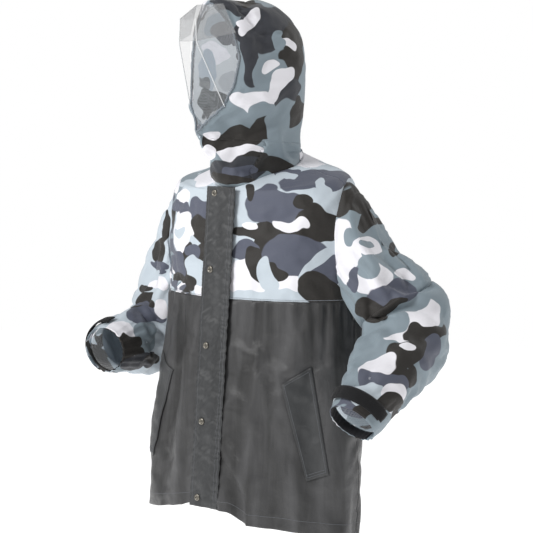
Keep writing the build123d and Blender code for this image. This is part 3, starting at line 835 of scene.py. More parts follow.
HOOD_PRINT = [
    (COAL, 210, 16, 50, 18, 0), (COAL, 258, 60, 40, 44, 0), (COAL, 235, 122, 16, 42, 0),
    (COAL, 300, 38, 32, 24, 0), (DARK, 318, 108, 22, 56, 0), (DARK, 225, 14, 16, 10, 0),
    (WHITE, 240, 48, 13, 24, 28), (WHITE, 222, 48, 9, 5, 0), (MIDDLE, 272, 150, 30, 34, 40),
    (WHITE, 276, 135, 16, 8, -45), (WHITE, 300, 92, 15, 6, 30), (MIDDLE, 290, 80, 6, 18, 0),
    (COAL, 305, 188, 34, 14, -50), (WHITE, 244, 200, 36, 18, 0), (WHITE, 294, 163, 38, 13, -50),
    (MIDDLE, 212, 240, 34, 17, 0), (MIDDLE, 262, 215, 26, 17, -20), (DARK, 214, 272, 38, 20, 0),
    (DARK, 260, 250, 34, 22, -30), (MIDDLE, 300, 260, 32, 54, 0), (DARK, 324, 225, 9, 28, 0),
    (DARK, 163, 280, 20, 17, 0), (WHITE, 160, 260, 15, 8, -15), (WHITE, 152, 300, 10, 12, 0),
    (WHITE, 214, 300, 42, 9, 0), (DARK, 240, 314, 28, 10, 0), (COAL, 208, 332, 54, 20, 0),
    (DARK, 274, 326, 40, 14, 0), (SLATE, 212, 330, 22, 9, 0), (DARK, 190, 345, 40, 8, 8),
]
HOOD_CLOTH = printed("hood_print", (-267.0, 307.0), (MIDDLE, 250, 170, 150, 190, 0), HOOD_PRINT, hood)
LINING_PRINT = [
    (linear(150, 165, 176), 165, 50, 16, 30, 35), (linear(78, 79, 84), 184, 65, 24, 22, 0),
    (linear(96, 98, 104), 158, 30, 14, 14, 30), (WHITE, 168, 110, 30, 13, 15),
    (linear(164, 174, 184), 146, 142, 18, 34, 0), (linear(92, 94, 98), 208, 85, 11, 7, 0),
    (linear(92, 94, 98), 222, 118, 8, 10, 0), (linear(172, 176, 180), 192, 165, 18, 12, 0),
    (linear(88, 92, 94), 142, 162, 9, 13, 0), (linear(66, 70, 71), 150, 206, 36, 27, 0),
    (linear(38, 39, 40), 140, 234, 22, 16, 0), (linear(70, 73, 75), 180, 206, 18, 14, -30),
    (linear(160, 164, 166), 160, 235, 15, 12, -20), (linear(24, 24, 24), 140, 247, 13, 8, 10),
]
LINING_GROUND = (linear(196, 200, 203), 180, 130, 120, 170, 0)
# The lining's colour glows as painted light, emitted through the net option, to lighten the shade inside the
# hood.
LINING = printed("mesh_lining", (-270.0, 311.0), LINING_GROUND, LINING_PRINT, hood,
                 60.0, True)
for lobe in LINING.node_tree.nodes:
    if lobe.name.startswith("Group") and lobe.node_tree == LOBE:
        centre = lobe.inputs["Centre"].default_value
        lobe.inputs["Centre"].default_value = (centre[0], 0.04, centre[2])


def above_foot(point):
    """Over the plane where the hood starts to tip."""
    return point[2] > 36.0 - (point[1] + 198.0) * 16.0 / 255.0


for name, inside in {
    "collar_front": lambda p: not above_foot(p) and p[1] < -100.0,
    "collar_back": lambda p: not above_foot(p) and p[1] >= -100.0,
}.items():
    piece = part_of(hood, name + "_cloth", inside)
    thicken(piece)
    keep_rest(piece)
    piece.data.materials.append(HOOD_CLOTH)
    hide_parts(name)
    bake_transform(piece)
for name, inside in {
    "hood_left": lambda p: above_foot(p) and p[0] > 0,
    "hood_right": lambda p: above_foot(p) and p[0] <= 0,
}.items():
    piece = part_of(hood, name + "_cloth", inside)
    thicken(piece)
    finish_piece(piece, HOOD_CLOTH, "hood", [name])

hood_inner = part_of(hood, "hood_lining_mesh", above_foot)
bm = bmesh.new()
bm.from_mesh(hood_inner.data)
bm.normal_update()
for vertex in bm.verts:
    vertex.co -= vertex.normal * 2.6 * MM
bm.to_mesh(hood_inner.data)
bm.free()
thicken(hood_inner, 0.5)
finish_piece(hood_inner, LINING, "hood", ["hood_lining"])


# ---------------------------------------------------------------------------------------------
# Sleeves: printed taffeta tubes, each an upper and a lower piece closed along its length.
# Set into the armhole with one seam, and buckled along the bend of the arm.
# ---------------------------------------------------------------------------------------------
def seam_point(side, turn):
    """Point of the armhole seam on the trunk."""
    y = ARMHOLE[0] - ARMHOLE_REACH[0] * math.sin(turn)
    z = ARMHOLE[1] + ARMHOLE_REACH[1] * math.cos(turn)
    best = None
    for place in trunk_places:
        row = spline(TRUNK, place)
        middle, half_depth = (row[0] + row[2]) / 2, (row[2] - row[0]) / 2
        share = max(-1.0, min(1.0, (y - middle) / half_depth))
        level = (row[1] + row[3]) / 2 + (row[3] - row[1]) / 2 * share
        if best is None or abs(level - z) < best[0]:
            best = (abs(level - z), row[4] * math.sqrt(1 - share * share))
    return Vector((side * best[1], y, z))


LEFT_PRINT = [
    (DARK, 67, 60, 42, 20, 15), (DARK, 33, 70, 10, 14, 0), (WHITE, 44, 155, 24, 60, -12),
    (WHITE, 90, 147, 20, 20, 0), (WHITE, 94, 206, 36, 22, -25), (MIDDLE, 57, 127, 11, 11, 0),
    (MIDDLE, 87, 187, 26, 14, -5), (MIDDLE, 88, 143, 10, 8, 0), (DARK, 88, 98, 18, 14, -40),
    (DARK, 117, 100, 10, 8, 0), (DARK, 137, 153, 7, 13, 0), (WHITE, 157, 193, 18, 9, 10),
    (SLATE, 133, 233, 43, 22, -20), (SLATE, 58, 215, 8, 20, 0), (DARK, 87, 267, 23, 20, 0),
    (DARK, 127, 253, 33, 8, -20), (WHITE, 178, 272, 34, 24, -15), (MIDDLE, 167, 257, 30, 10, -20),
    (WHITE, 143, 300, 28, 9, -20), (MIDDLE, 123, 290, 28, 15, -30), (DARK, 187, 300, 37, 13, 0),
    (SLATE, 200, 333, 20, 26, 0), (DARK, 150, 333, 37, 19, -20), (DARK, 130, 367, 17, 13, 0),
    (DARK, 160, 373, 12, 17, 0), (WHITE, 97, 357, 30, 14, -15), (WHITE, 150, 322, 10, 7, 0),
    (SLATE, 110, 380, 43, 15, 15), (LIGHT, 77, 400, 32, 20, 0), (WHITE, 130, 403, 17, 16, 0),
    (DARK, 93, 430, 38, 12, 0), (DARK, 80, 437, 16, 17, 0), (DARK, 120, 423, 17, 13, 0),
    (DARK, 132, 447, 7, 12, 0), (MIDDLE, 100, 463, 26, 20, 0), (DARK, 95, 485, 22, 7, -25),
]
RIGHT_PRINT = [
    (DARK, 177, 126, 8, 26, 0), (DARK, 163, 177, 11, 28, 10), (SLATE, 162, 207, 20, 10, 0),
    (SLATE, 171, 222, 9, 6, 0), (WHITE, 159, 249, 20, 12, 0), (DARK, 130, 262, 14, 7, 0),
    (DARK, 129, 285, 22, 10, 0), (SLATE, 135, 312, 34, 16, 20), (WHITE, 162, 300, 13, 18, 0),
    (WHITE, 80, 336, 27, 20, 0), (MIDDLE, 135, 354, 26, 26, 0), (DARK, 102, 357, 18, 12, 0),
    (DARK, 114, 369, 32, 7, 48), (DARK, 96, 381, 13, 13, 0), (COAL, 122, 402, 32, 18, 0),
    (DARK, 144, 402, 12, 10, 0),
]
SLEEVES = {
    "left": {"side": 1, "elbow": Vector((352.0, 24.0, -318.0)), "cuff": Vector((338.0, -160.0, -480.0)),
             "print": LEFT_PRINT, "corner": (105.0, -21.0), "ground": (MIDDLE, 110, 240, 130, 270, 0),
             "strap": math.radians(55.0)},
    "right": {"side": -1, "elbow": Vector((-322.0, 28.0, -374.0)), "cuff": Vector((-285.0, -175.0, -398.0)),
              "print": RIGHT_PRINT, "corner": (-383.0, -25.0), "ground": (LIGHT, 130, 240, 130, 230, 0),
              "strap": math.radians(30.0)},
}
SLEEVE_RADII = [(0.0, 84.0), (0.25, 80.0), (0.5, 72.0), (0.62, 70.0), (0.8, 62.0), (0.93, 54.0), (1.0, 47.0)]


def radius_at(t):
    """Sleeve radius along its length."""
    for (t0, r0), (t1, r1) in zip(SLEEVE_RADII, SLEEVE_RADII[1:]):
        if t <= t1:
            return r0 + (r1 - r0) * smooth((t - t0) / (t1 - t0))
    return SLEEVE_RADII[-1][1]


def shoulder_of(side):
    """Middle of a sleeve at the armhole."""
    return Vector((side * 214.0, -2.0, -160.0))


def sleeve_path(arm, t):
    """Point on the middle of a sleeve: straight, a rounded elbow, straight."""
    shoulder = shoulder_of(arm["side"])
    elbow, cuff = arm["elbow"], arm["cuff"]
    bend = 0.30
    a = shoulder + (elbow - shoulder) * (1 - bend)
    b = elbow + (cuff - elbow) * bend
    if t < 0.35:
        return shoulder + (a - shoulder) * t / 0.35
    if t > 0.62:
        return b + (cuff - b) * (t - 0.62) / 0.38
    f = (t - 0.35) / 0.27
    return a * (1 - f) ** 2 + elbow * 2 * f * (1 - f) + b * f * f


for name, arm in SLEEVES.items():
    side = arm["side"]
    length = (arm["elbow"] - shoulder_of(side)).length + (arm["cuff"] - arm["elbow"]).length
    rows = round(length / GRID * 1.15)
    columns = round(440.0 / GRID)
    upward = Vector((0.0, 0.0, 1.0))
    points = []
    ring_middles = []
    for r in range(rows + 1):
        t = r / rows
        middle = sleeve_path(arm, t)
        ahead = sleeve_path(arm, min(1.0, t + 0.01)) - sleeve_path(arm, max(0.0, t - 0.01))
        normal = ahead.normalized()
        upward = (upward - normal * upward.dot(normal)).normalized()
        sideways = normal.cross(upward) * side
        radius = radius_at(t)
        ring_middles.append((middle, normal, upward.copy(), sideways.copy(), radius))
        for c in range(columns):
            turn = 2 * math.pi * c / columns
            way = upward * math.cos(turn) + sideways * math.sin(turn)
            base = middle + way * radius
            fold = 2.2 * wobble(base, 26.0, 21) + 4.0 * wobble(base, 70.0, 22)
            spiral = math.sin(t * 46.0 + 2.2 * math.sin(turn + 0.8) + 1.5 * wobble(base, 80.0, 23))
            fold += 5.0 * spiral * math.exp(-((t - 0.5) / 0.2) ** 2)
            fold *= smooth(t * 8.0) * smooth((1 - t) / 0.17)
            away = smooth(0.3 - 1.6 * math.cos(turn - arm["strap"]))
            gather = math.sin(turn * 21.0 + 2.0 * wobble(base, 60.0, 24))
            fold += 1.8 * away * gather * smooth((t - 0.8) / 0.14)
            base += way * fold
            start = seam_point(side, turn)
            puff = smooth(t / 0.36)
            head = Vector((side * 9.0, 0, 0)) * math.sin(math.pi * min(t / 0.1, 1)) * 0.5
            base = start.lerp(base, puff) + head
            points.append(base)
    faces = grid_faces(rows + 1, columns, closed=True)
    if side < 0:
        faces = [tuple(reversed(f)) for f in faces]
    sleeve = mesh_from(f"sleeve_{name}", points, faces)
    last_middle = ring_middles[-1][0]
    last_normal = ring_middles[-1][1]

    def hold_sleeve(point, side=side, middle=last_middle, normal=last_normal):
        """Held at the armhole seam and at the cuff."""
        point = Vector(point)
        end = smooth(((point - middle).dot(normal) + 54.0) / 16.0) if (point - middle).length < 90.0 else 0.0
        seam = 1.0 if abs(point.x) < 240.0 and 0.9 < armhole_distance(point) < 1.12 else 0.0
        return max(0.03, end, seam)

    crumple(sleeve, hold_sleeve, 0.09, bend=0.12)
    relax(sleeve, 0.4, 1)
    arm["rings"] = ring_middles
    last_upper = round(rows * 0.38) * columns
    upper = rows_of(sleeve, f"sleeve_upper_{name}_cloth", 0, last_upper)
    lower = rows_of(sleeve, f"sleeve_lower_{name}_cloth", last_upper, rows * columns)
    cloth_print = printed(f"sleeve_print_{name}", arm["corner"], arm["ground"], arm["print"], sleeve)
    for piece in (upper, lower):
        thicken(piece)
        keep_rest(piece)
        piece.data.materials.append(cloth_print)
    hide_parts(f"sleeve_upper_{name}")
    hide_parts(f"sleeve_lower_{name}")
    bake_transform(upper)
    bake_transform(lower)


# ---------------------------------------------------------------------------------------------
# Storm flap: a doubled strip of plain grey taffeta that covers the zip.
# Sewn down along one long edge, topstitched along both long edges, puckered between its snaps.
# ---------------------------------------------------------------------------------------------
FLAP_LEFT, FLAP_RIGHT, FLAP_TOP, FLAP_LENGTH, FLAP_OUT = -40.0, 32.0, 3.0, 626.0, 8.0
SNAPS = [16.0 + 149.0 * i for i in range(5)]
SNAP_X = -20.0
columns = round((FLAP_RIGHT - FLAP_LEFT) / 3.0)
rows = round(FLAP_LENGTH / 3.0)
points = []
for r in range(rows + 1):
    for c in range(columns + 1):
        x = FLAP_LEFT + (FLAP_RIGHT - FLAP_LEFT) * c / columns
        down = FLAP_TOP + FLAP_LENGTH * r / rows
        ripple = 1.3 * wobble((x * 0.8, down * 0.6, 0.0), 24.0, 31)
        ripple += 0.4 * wobble((x, down + x * 0.8, 0.0), 12.0, 32)
        pucker = math.sin(down / 3.4 + 2.5 * wobble((x, down, 0.0), 30.0, 33))
        ripple += 1.1 * pucker * smooth((x - 8.0) / 14.0)
        points.append(front_point(x, down, FLAP_OUT + ripple))
flap = mesh_from("storm_flap_cloth", points, [tuple(reversed(f)) for f in grid_faces(rows + 1, columns + 1)])


def hold_flap(point):
    """Held at the sewn edge and at the snaps."""
    x = point[0]
    down = (NECK_FRONT[1] - point[2])
    sewn = smooth((x - FLAP_RIGHT + 11.0) / 5.0)
    near = min(math.hypot(x - SNAP_X, down - s) for s in SNAPS)
    ends = smooth((FLAP_TOP + 6.0 - down) / 5.0)
    free_edge = smooth((FLAP_LEFT + 5.0 - x) / 3.0)
    return max(0.03, sewn, smooth((11.0 - near) / 4.0), 0.25 * ends, 0.3 * free_edge)


crumple(flap, hold_flap, 0.03, bend=0.3)
thicken(flap, 1.6, 0.0)
flap.data.materials.append(FLAP_CLOTH)
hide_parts("storm_flap")
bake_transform(flap)


# ---------------------------------------------------------------------------------------------
# Stitching: rows of polyester thread beside the flap's edges, the hem and the yoke seam, lockstitched
# through the cloth.
# Each visible stitch is a short raised thread laid on the surface.
# ---------------------------------------------------------------------------------------------
def stitch_row(target, route, aim, length=3.6, space=2.0, radius=0.45):
    """Points and faces of threads along a route, dropped onto a target from outside."""
    points, faces = [], []
    seated = []
    for place in route:
        way = aim(place)
        hit, spot, _, _ = target.ray_cast((place + way * 40.0) * MM, -way, distance=0.09)
        if hit:
            seated.append((spot / MM + way * 0.25, way))
    travelled = 0.0
    start = None
    for (a, way), (b, _) in zip(seated, seated[1:]):
        step = (b - a).length
        if step > 12.0:
            start = None
            continue
        if start is None:
            start, travelled = (a, way), 0.0
        travelled += step
        if travelled >= length:
            run = b - start[0]
            side_way = run.cross(start[1]).normalized() * radius
            up = start[1] * radius * 0.8
            first = len(points)
            points += [end + step for end in (start[0], b) for step in (-side_way, up, side_way)]
            faces += [tuple(first + k for k in f) for f in (
                (0, 1, 4, 3), (1, 2, 5, 4), (2, 0, 3, 5), (0, 2, 1), (3, 4, 5))]
            start = None
            travelled = -space
        elif travelled < 0:
            start = (b, way)
    return points, faces


def stitched(name, rows, body, material=None):
    """One object from rows of stitches."""
    points, faces = [], []
    for row_points, row_faces in rows:
        faces += [tuple(len(points) + k for k in f) for f in row_faces]
        points += row_points
    made = mesh_from(name, points, faces, False)
    bm = bmesh.new()
    bm.from_mesh(made.data)
    bmesh.ops.recalc_face_normals(bm, faces=bm.faces)
    bm.to_mesh(made.data)
    bm.free()
    made.data.materials.append(material or THREAD)
    if body == "flap":
        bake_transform(made)
    else:
        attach(made, body)
    return made


FRONT_OUT = Vector((0.0, -1.0, FRONT_LEAN)).normalized()


def front_way(place):
    """Way out of the front closure."""
    return FRONT_OUT


def trunk_way(place):
    """Way out of the trunk."""
    return Vector((place.x, (place.y + 15.0) * 2.2, 0.0)).normalized()


flap_rows = []
for x in (20.0, 27.0, -34.0):
    route = [front_point(x, FLAP_TOP + 4 + i * 0.9, FLAP_OUT) for i in range(678)]
    flap_rows.append(stitch_row(flap, route, front_way))
stitched("flap_stitches", flap_rows, "flap")
hem_row, seam_row = [], []
for i in range(1400):
    turn = math.asin(OPENING * 1.8 / 246.0) * (1 - i / 700) + math.pi * i / 700
    hem_row.append(ring_point(spline(TRUNK, 0.0), turn) + Vector((0, 0, 17.0 + (
        hem_rise(246.0 * math.sin(turn)) if math.cos(turn) > 0 else 0.0))))
    seam_row.append(ring_point(spline(TRUNK, 2.0), turn) + Vector((0, 0, SEAM_LEVEL + 270.0 + 3.0)))
stitched("hem_stitches", [stitch_row(trunk, hem_row, trunk_way)], "jacket")
stitched("yoke_stitches", [stitch_row(trunk, seam_row, trunk_way, 3.0, 2.0, 0.35)], "jacket", PALE_THREAD)


# ---------------------------------------------------------------------------------------------
# Snaps: five plated brass ring caps on the outside of the flap, pressed from sheet.
# Each is riveted through the cloth to its socket; studs and the zip lie behind the flap.
# ---------------------------------------------------------------------------------------------
def spun(name, profile, centre, axis):
    """Solid of revolution from (radius, height) points, about an axis through a centre."""
    steps = 28
    axis = Vector(axis).normalized()
    side_way = axis.orthogonal().normalized()
    other = axis.cross(side_way)
    points = []
    for i in range(steps):
        turn = 2 * math.pi * i / steps
        way = side_way * math.cos(turn) + other * math.sin(turn)
        points += [Vector(centre) + way * r + axis * h for r, h in profile]
    faces = []
    n = len(profile)
    for i in range(steps):
        for j in range(n - 1):
            k = (i + 1) % steps
            faces.append((i * n + j, k * n + j, k * n + j + 1, i * n + j + 1))
    made = mesh_from(name, points, faces)
    bm = bmesh.new()
    bm.from_mesh(made.data)
    bmesh.ops.remove_doubles(bm, verts=bm.verts, dist=0.01 * MM)
    bmesh.ops.holes_fill(bm, edges=[e for e in bm.edges if e.is_boundary])
    bmesh.ops.recalc_face_normals(bm, faces=bm.faces)
    bm.to_mesh(made.data)
    bm.free()
    return made


def join(name, parts):
    """One object from several."""
    clear()
    for part in parts:
        part.select_set(True)
    bpy.context.view_layer.objects.active = parts[0]
    bpy.ops.object.join()
    parts[0].name = name
    return parts[0]


# Radius and height of a snap cap's outline: a dished middle, a rounded ring, a flat foot
CAP = [
    (0.0, 1.0), (2.4, 1.0), (3.0, 0.8), (3.3, 2.0), (4.2, 2.9),
    (5.4, 2.8), (6.6, 1.8), (7.0, 0.6), (6.9, 0.0), (0.0, 0.0),
]
cap_places = [front_point(SNAP_X, down, FLAP_OUT + 0.9) for down in SNAPS]
caps = join("snap_caps_metal", [spun("cap", CAP, place, FRONT_OUT) for place in cap_places])
finish_piece(caps, SNAP, "flap", ["snap_caps"])
for node in ("snap_sockets", "snap_studs"):
    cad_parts[node].data.materials.clear()
    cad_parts[node].data.materials.append(SNAP)
for node in ("zip_tape_left", "zip_tape_right", "zip_teeth_left", "zip_teeth_right", "zip_stops", "zip_box",
             "zip_slider", "zip_pull"):
    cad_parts[node].data.materials.clear()
    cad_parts[node].data.materials.append(ZIP)


# ---------------------------------------------------------------------------------------------
# Veil: fine polyester mesh panels below a brim of stiff clear film, seamed together.
# Sewn into the bound edge of the hood's face opening and stretched forward from it.
# ---------------------------------------------------------------------------------------------
def patch(name, corners, steps, bulge, seed):
    """Slightly bulged four-cornered panel."""
    a, b, c, d = (Vector(p) for p in corners)
    normal = (b - a).cross(d - a).normalized()
    points = []
    for i in range(steps + 1):
        for j in range(steps + 1):
            u, v = i / steps, j / steps
            base = (a.lerp(b, u)).lerp(d.lerp(c, u), v)
            swell = 16 * u * (1 - u) * v * (1 - v)
            base += normal * (bulge * swell + 1.2 * wobble(base, 40.0, seed) * swell)
            points.append(base)
    panel = mesh_from(name, points, grid_faces(steps + 1, steps + 1))
    thicken(panel, 0.5, 0.0)
    return panel


NOSE_TOP, NOSE_LOW = Vector((20.0, -230.0, 262.0)), Vector((22.0, -231.0, 219.0))
BROW, CHEEK, JAW = Vector((34.0, -168.0, 291.0)), Vector((67.0, -152.0, 190.0)), Vector((44.0, -175.0, 96.0))
CHIN = Vector((0.0, -206.0, 47.0))


def mirrored(point, side):
    """A point of the left half, or its mirror image."""
    return Vector((point.x * side, point.y, point.z))


far_top, far_low, far_brow, far_jaw = (mirrored(p, -1) for p in (NOSE_TOP, NOSE_LOW, BROW, JAW))
brim_top = patch("brim_top", [far_top, NOSE_TOP, BROW, far_brow], 12, 3.0, 41)
brim_front = patch("brim_front", [far_low, NOSE_LOW, NOSE_TOP, far_top], 8, 3.0, 42)
brim_sides = []
for side in (1, -1):
    upper_cheek = mirrored(BROW.lerp(CHEEK, 0.55) + Vector((6.0, 0.0, 0.0)), side)
    brim_sides.append(patch("brim_side", [mirrored(NOSE_LOW, side), upper_cheek, mirrored(BROW, side),
                                          mirrored(NOSE_TOP, side)], 10, 2.0 * side, 43))
brim = join("brim_film", [brim_top, brim_front] + brim_sides)
finish_piece(brim, BRIM, "hood", ["brim"])
veil_front = patch("veil_front_mesh", [far_jaw, JAW, NOSE_LOW, far_low], 14, 5.0, 44)
finish_piece(veil_front, VEIL, "hood", ["veil_front"])
chin_half = Vector((4, 0, 0))
veil_chin = patch("veil_chin_mesh", [CHIN - chin_half, CHIN + chin_half, JAW, far_jaw], 10, 2.0, 45)
finish_piece(veil_chin, VEIL, "hood", ["veil_chin"])
for side, name in ((1, "left"), (-1, "right")):
    upper_cheek = BROW.lerp(CHEEK, 0.55) + Vector((6.0, 0.0, 0.0))
    panel = patch(f"veil_side_{name}_mesh",
                  [mirrored(p, side) for p in (JAW, CHEEK, upper_cheek, NOSE_LOW)], 12, 3.0 * side, 46)
    finish_piece(panel, VEIL, "hood", [f"veil_side_{name}"])


def tube_along(name, points, radius):
    """Round tape edge through points, built as rings."""
    steps = 8
    points = [Vector(p) for p in points]
    rings = []
    for i, point in enumerate(points):
        ahead = points[min(i + 1, len(points) - 1)] - points[max(i - 1, 0)]
        normal = ahead.normalized()
        side_way = normal.orthogonal().normalized() if i == 0 else (
            side_way - normal * side_way.dot(normal)).normalized()
        other = normal.cross(side_way)
        for k in range(steps):
            turn = 2 * math.pi * k / steps
            rings.append(point + (side_way * math.cos(turn) + other * math.sin(turn)) * radius)
    faces = grid_faces(len(points), steps, closed=True)
    faces.append(tuple(reversed(range(steps))))
    faces.append(tuple((len(points) - 1) * steps + k for k in range(steps)))
    made = mesh_from(name, rings, faces)
    bm = bmesh.new()
    bm.from_mesh(made.data)
    bmesh.ops.recalc_face_normals(bm, faces=bm.faces)
    bm.to_mesh(made.data)
    bm.free()
    return made


for side, name in ((1, "left"), (-1, "right")):
    route = [mirrored(NOSE_TOP.lerp(NOSE_LOW, t / 4), side) for t in range(5)]
    route += [mirrored(NOSE_LOW.lerp(JAW, t / 12) + Vector((0, -1.0, 0)), side) for t in range(1, 13)]
    seam = tube_along(f"veil_seam_{name}_tape", route, 1.0)
    finish_piece(seam, VEIL_SEAM, "hood", [f"veil_seam_{name}"])

edge_route = []
for z in [46 + 2.5 * i for i in range(101)]:
    row_place = min(hood_places, key=lambda p: abs(spline(HOOD, p)[1] - z) + (9 if p < FOOT else 0))
    row = spline(HOOD, row_place)
    depth = face_depth(min(z, 295.9))
    share = ((row[0] + row[2]) / 2 - depth) / ((row[2] - row[0]) / 2)
    turn = math.acos(max(-1.0, min(1.0, share)))
    edge_route.append(prow(ring_point(row, turn, 0.8), row))
left_edge = [p for i, p in enumerate(edge_route) if i == 0 or (p - edge_route[i - 1]).length > 0.4]
right_edge = [mirrored(p, -1) for p in left_edge]
binding = tube_along("face_binding_tape", list(reversed(right_edge)) + left_edge, 2.0)
finish_piece(binding, BINDING, "hood", ["face_binding"])


# ---------------------------------------------------------------------------------------------
# Pockets: a slanted welt of folded grey taffeta on each front, with its bag inside.
# The welt is sewn on along its lower edge and both ends, and lies on the trunk.
# ---------------------------------------------------------------------------------------------
POCKET = Vector((190.0, -108.0, -520.0))
POCKET_WAY = math.radians(38.8)
POCKET_OUT = Vector((math.sin(POCKET_WAY), -math.cos(POCKET_WAY), 0.0))
POCKET_ACROSS = Vector((math.cos(POCKET_WAY), math.sin(POCKET_WAY), 0.0))
WELT = [(-49.0, 88.0), (10.0, 121.0), (43.0, -82.0), (0.0, -95.0)]
BAG = [(-68.0, 88.0), (30.0, 112.0), (36.0, -128.0), (-46.0, -128.0)]


def pocket_spot(corners, u, v, side, lift):
    """Point of a pocket piece: across from its open edge, up from its foot, out from the trunk's cloth."""
    top = Vector(corners[0]).lerp(Vector(corners[1]), u)
    local = Vector(corners[3]).lerp(Vector(corners[2]), u).lerp(top, v)
    place = mirrored(POCKET + POCKET_ACROSS * local.x + Vector((0, 0, local.y)), side)
    way = mirrored(POCKET_OUT, side)
    _, spot, _, _ = trunk.ray_cast((place + way * 60.0) * MM, -way)
    return spot / MM + way * lift


def pocket_faces(rows, columns, side):
    """Quads of a pocket piece, facing out on either side."""
    faces = grid_faces(rows, columns)
    return faces if side > 0 else [tuple(reversed(f)) for f in faces]


for side, name in ((1, "left"), (-1, "right")):
    steps_u, steps_v = 16, 44
    points = []
    for i in range(steps_v + 1):
        for j in range(steps_u + 1):
            u, v = j / steps_u, i / steps_v
            inner = 0 < i < steps_v and 0 < j < steps_u
            lift = 1.9 + 2.0 * (1 - u) ** 2 * math.sin(math.pi * v) ** 0.5 + 0.8 * math.sin(math.pi * u)
            spot = pocket_spot(WELT, u, v, side, lift)
            ripple = 0.9 * wobble(spot, 16.0, 51) if inner else 0.0
            points.append(spot + mirrored(POCKET_OUT, side) * ripple)
    welt = mesh_from(f"pocket_welt_{name}_cloth", points, pocket_faces(steps_v + 1, steps_u + 1, side))
    edges = [((0.08, 0.03), (0.08, 0.97)), ((0.9, 0.03), (0.9, 0.97)), ((0.08, 0.97), (0.9, 0.97)),
             ((0.08, 0.03), (0.9, 0.03)), ((0.08, 0.055), (0.9, 0.055))]
    rows = []
    for (u0, v0), (u1, v1) in edges:
        route = []
        for k in range(260):
            route.append(pocket_spot(WELT, u0 + (u1 - u0) * k / 259, v0 + (v1 - v0) * k / 259, side, 4.0))
        rows.append(stitch_row(welt, route, trunk_way))
    stitched(f"pocket_stitches_{name}", rows, "jacket")
    thicken(welt, 1.6, -1.0)
    finish_piece(welt, FLAP_CLOTH, "jacket", [f"pocket_welt_{name}"])
    points = []
    for i in range(25):
        for j in range(13):
            u, v = j / 12, i / 24
            spot = pocket_spot(BAG, u, v, side, -5.0)
            sag = 4.0 * math.sin(math.pi * u) * math.sin(math.pi * v) ** 0.5
            points.append(spot - mirrored(POCKET_OUT, side) * (sag + wobble(spot, 40.0, 52)))
    bag = mesh_from(f"pocket_bag_{name}_cloth", points, pocket_faces(25, 13, side))
    thicken(bag, 2.4, -1.0)
    finish_piece(bag, FLAP_CLOTH, "jacket", [f"pocket_bag_{name}"])


# ---------------------------------------------------------------------------------------------
# Cuffs: a black hook-and-loop strap with its patch, knitted elastic and a mesh lining.
# All are sewn to the end of the sleeve but the strap's tip, which is narrowed and lies on the cuff.
# ---------------------------------------------------------------------------------------------
def cuff_band(name, arm, radius, start, sweep, back, width, thickness, ripple=0.0, tip=0.0):
    """Band round a cuff, from an angle over an arc, its front edge this far back from the opening."""
    middle, normal, upward, sideways, _ = arm["rings"][-1]
    steps = max(12, round(abs(sweep) / 4.0))
    across = 6
    points = []
    for i in range(steps + 1):
        turn = math.radians(start + sweep * i / steps)
        way = upward * math.cos(turn) + sideways * math.sin(turn)
        taper = 1.0 if tip == 0 or i < steps - 2 else 0.8
        for j in range(across + 1):
            place = (j / across - 0.5) * width * taper + back + width / 2
            lift = ripple * math.sin(i * 2.1) + (radius_at(1 - place / 420.0) - radius_at(1.0)) * 0.9
            points.append(middle - normal * place + way * (radius + lift))
    faces = grid_faces(steps + 1, across + 1)
    band = mesh_from(name, points, faces)
    thicken(band, thickness, 0.0)
    bm = bmesh.new()
    bm.from_mesh(band.data)
    bmesh.ops.recalc_face_normals(bm, faces=bm.faces)
    bm.to_mesh(band.data)
    bm.free()
    return band


STRAP_ROOT = {"left": (120.0, 88.6), "right": (95.0, 69.2)}
for name, arm in SLEEVES.items():
    root, turn = STRAP_ROOT[name][0], math.radians(STRAP_ROOT[name][1])
    middle, normal, upward, sideways, _ = arm["rings"][-1]
    strap = cuff_band(f"cuff_strap_{name}_web", arm, 53.5, root, -130.0, 12.0, 26.0, 2.0, 0.0, 1.0)
    strap.data.materials.append(BLACK_WEB)
    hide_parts(f"cuff_strap_{name}")
    away = upward * math.sin(turn) - sideways * math.cos(turn)
    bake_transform(strap)
    under = cuff_band(f"strap_patch_{name}_web", arm, 50.5, root - 58.0, -66.0, 13.0, 22.0, 1.0)
    finish_piece(under, BLACK_WEB, f"forearm_{name}", [f"strap_patch_{name}"])
    elastic = cuff_band(f"cuff_elastic_{name}_band", arm, 44.6, 95.0, 180.0, 0.5, 20.0, 1.4, 0.8)
    finish_piece(elastic, ELASTIC, f"forearm_{name}", [f"cuff_elastic_{name}"])
    # The cuff lining uses the hood lining's material and glows with the same painted light.
    inner = cuff_band(f"cuff_lining_{name}_mesh", arm, 43.5, 0.0, 360.0, 22.0, 50.0, 0.5)
    finish_piece(inner, LINING, f"forearm_{name}", [f"cuff_lining_{name}"])

for obj in (trunk, hood):
    bpy.data.objects.remove(obj)
for name in SLEEVES:
    bpy.data.objects.remove(bpy.data.objects[f"sleeve_{name}"])


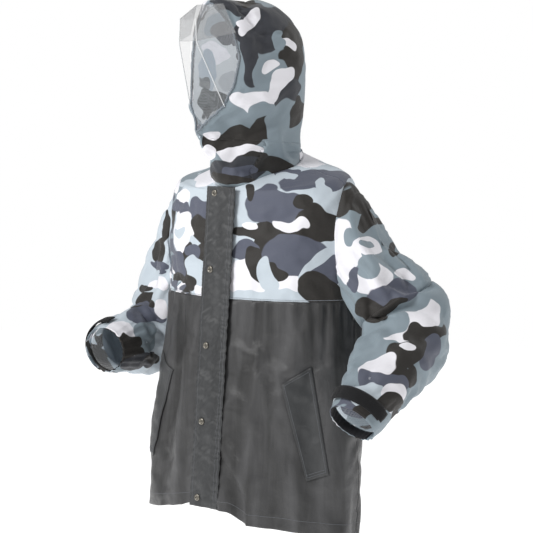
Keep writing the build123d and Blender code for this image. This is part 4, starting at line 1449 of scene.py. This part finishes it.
# ---------------------------------------------------------------------------------------------
# Stage: pale matt floor, soft light from above and both sides, and the camera.
# None of it belongs to the jacket.
# ---------------------------------------------------------------------------------------------
clear()
bpy.ops.mesh.primitive_plane_add(size=14.0, location=(0.0, 0.0, -1.45))
floor = bpy.context.active_object
floor.name = "floor"
floor_paint, floor_shader, _ = new_material("floor_paint", 0.9, 0.0, 0.1)
floor_shader.inputs["Base Color"].default_value = (0.9, 0.9, 0.9, 1.0)
floor_shader.inputs["Emission Color"].default_value = (1.0, 1.0, 1.0, 1.0)
floor_shader.inputs["Emission Strength"].default_value = 0.8
floor.data.materials.append(floor_paint)

world = bpy.data.worlds.new("studio")
bpy.context.scene.world = world
world.use_nodes = True
studio = world.node_tree.nodes["Background"]
studio.inputs["Color"].default_value = (1.0, 1.0, 1.0, 1.0)
seen = world.node_tree.nodes.new("ShaderNodeLightPath")
level = world.node_tree.nodes.new("ShaderNodeMapRange")
level.inputs["To Min"].default_value = 0.36
level.inputs["To Max"].default_value = 1.0
world.node_tree.links.new(seen.outputs["Is Camera Ray"], level.inputs["Value"])
world.node_tree.links.new(level.outputs["Result"], studio.inputs["Strength"])

VIEW = math.radians(40.0)
back_way = Vector((math.sin(VIEW), -math.cos(VIEW), 0.0))
right_way = Vector((math.cos(VIEW), math.sin(VIEW), 0.0))


def area_light(name, place, target, size, power):
    """Soft square light aimed at a point."""
    data = bpy.data.lights.new(name, "AREA")
    data.size = size
    data.energy = power
    light = bpy.data.objects.new(name, data)
    bpy.context.scene.collection.objects.link(light)
    light.location = place
    light.rotation_euler = (Vector(target) - Vector(place)).to_track_quat("-Z", "Y").to_euler()
    return light


area_light("key", back_way * 1.6 - right_way * 2.2 + Vector((0, 0, 1.5)), (0, 0, -0.2), 0.9, 84.0)
area_light("rim", back_way * -0.6 + right_way * 2.4 + Vector((0, 0, 1.4)), (0, 0, -0.2), 0.9, 30.0)

camera_data = bpy.data.cameras.new("camera")
camera_data.sensor_width = 36.0
camera_data.lens = 118.2
camera = bpy.data.objects.new("camera", camera_data)
bpy.context.scene.collection.objects.link(camera)
camera.location = back_way * 3.5 + Vector((0.0, 0.0, 0.09))
aim = Vector((0.0, 0.0, -0.223))
camera.rotation_euler = (aim - camera.location).to_track_quat("-Z", "Y").to_euler()
bpy.context.scene.camera = camera
bpy.context.scene.view_settings.view_transform = "Standard"
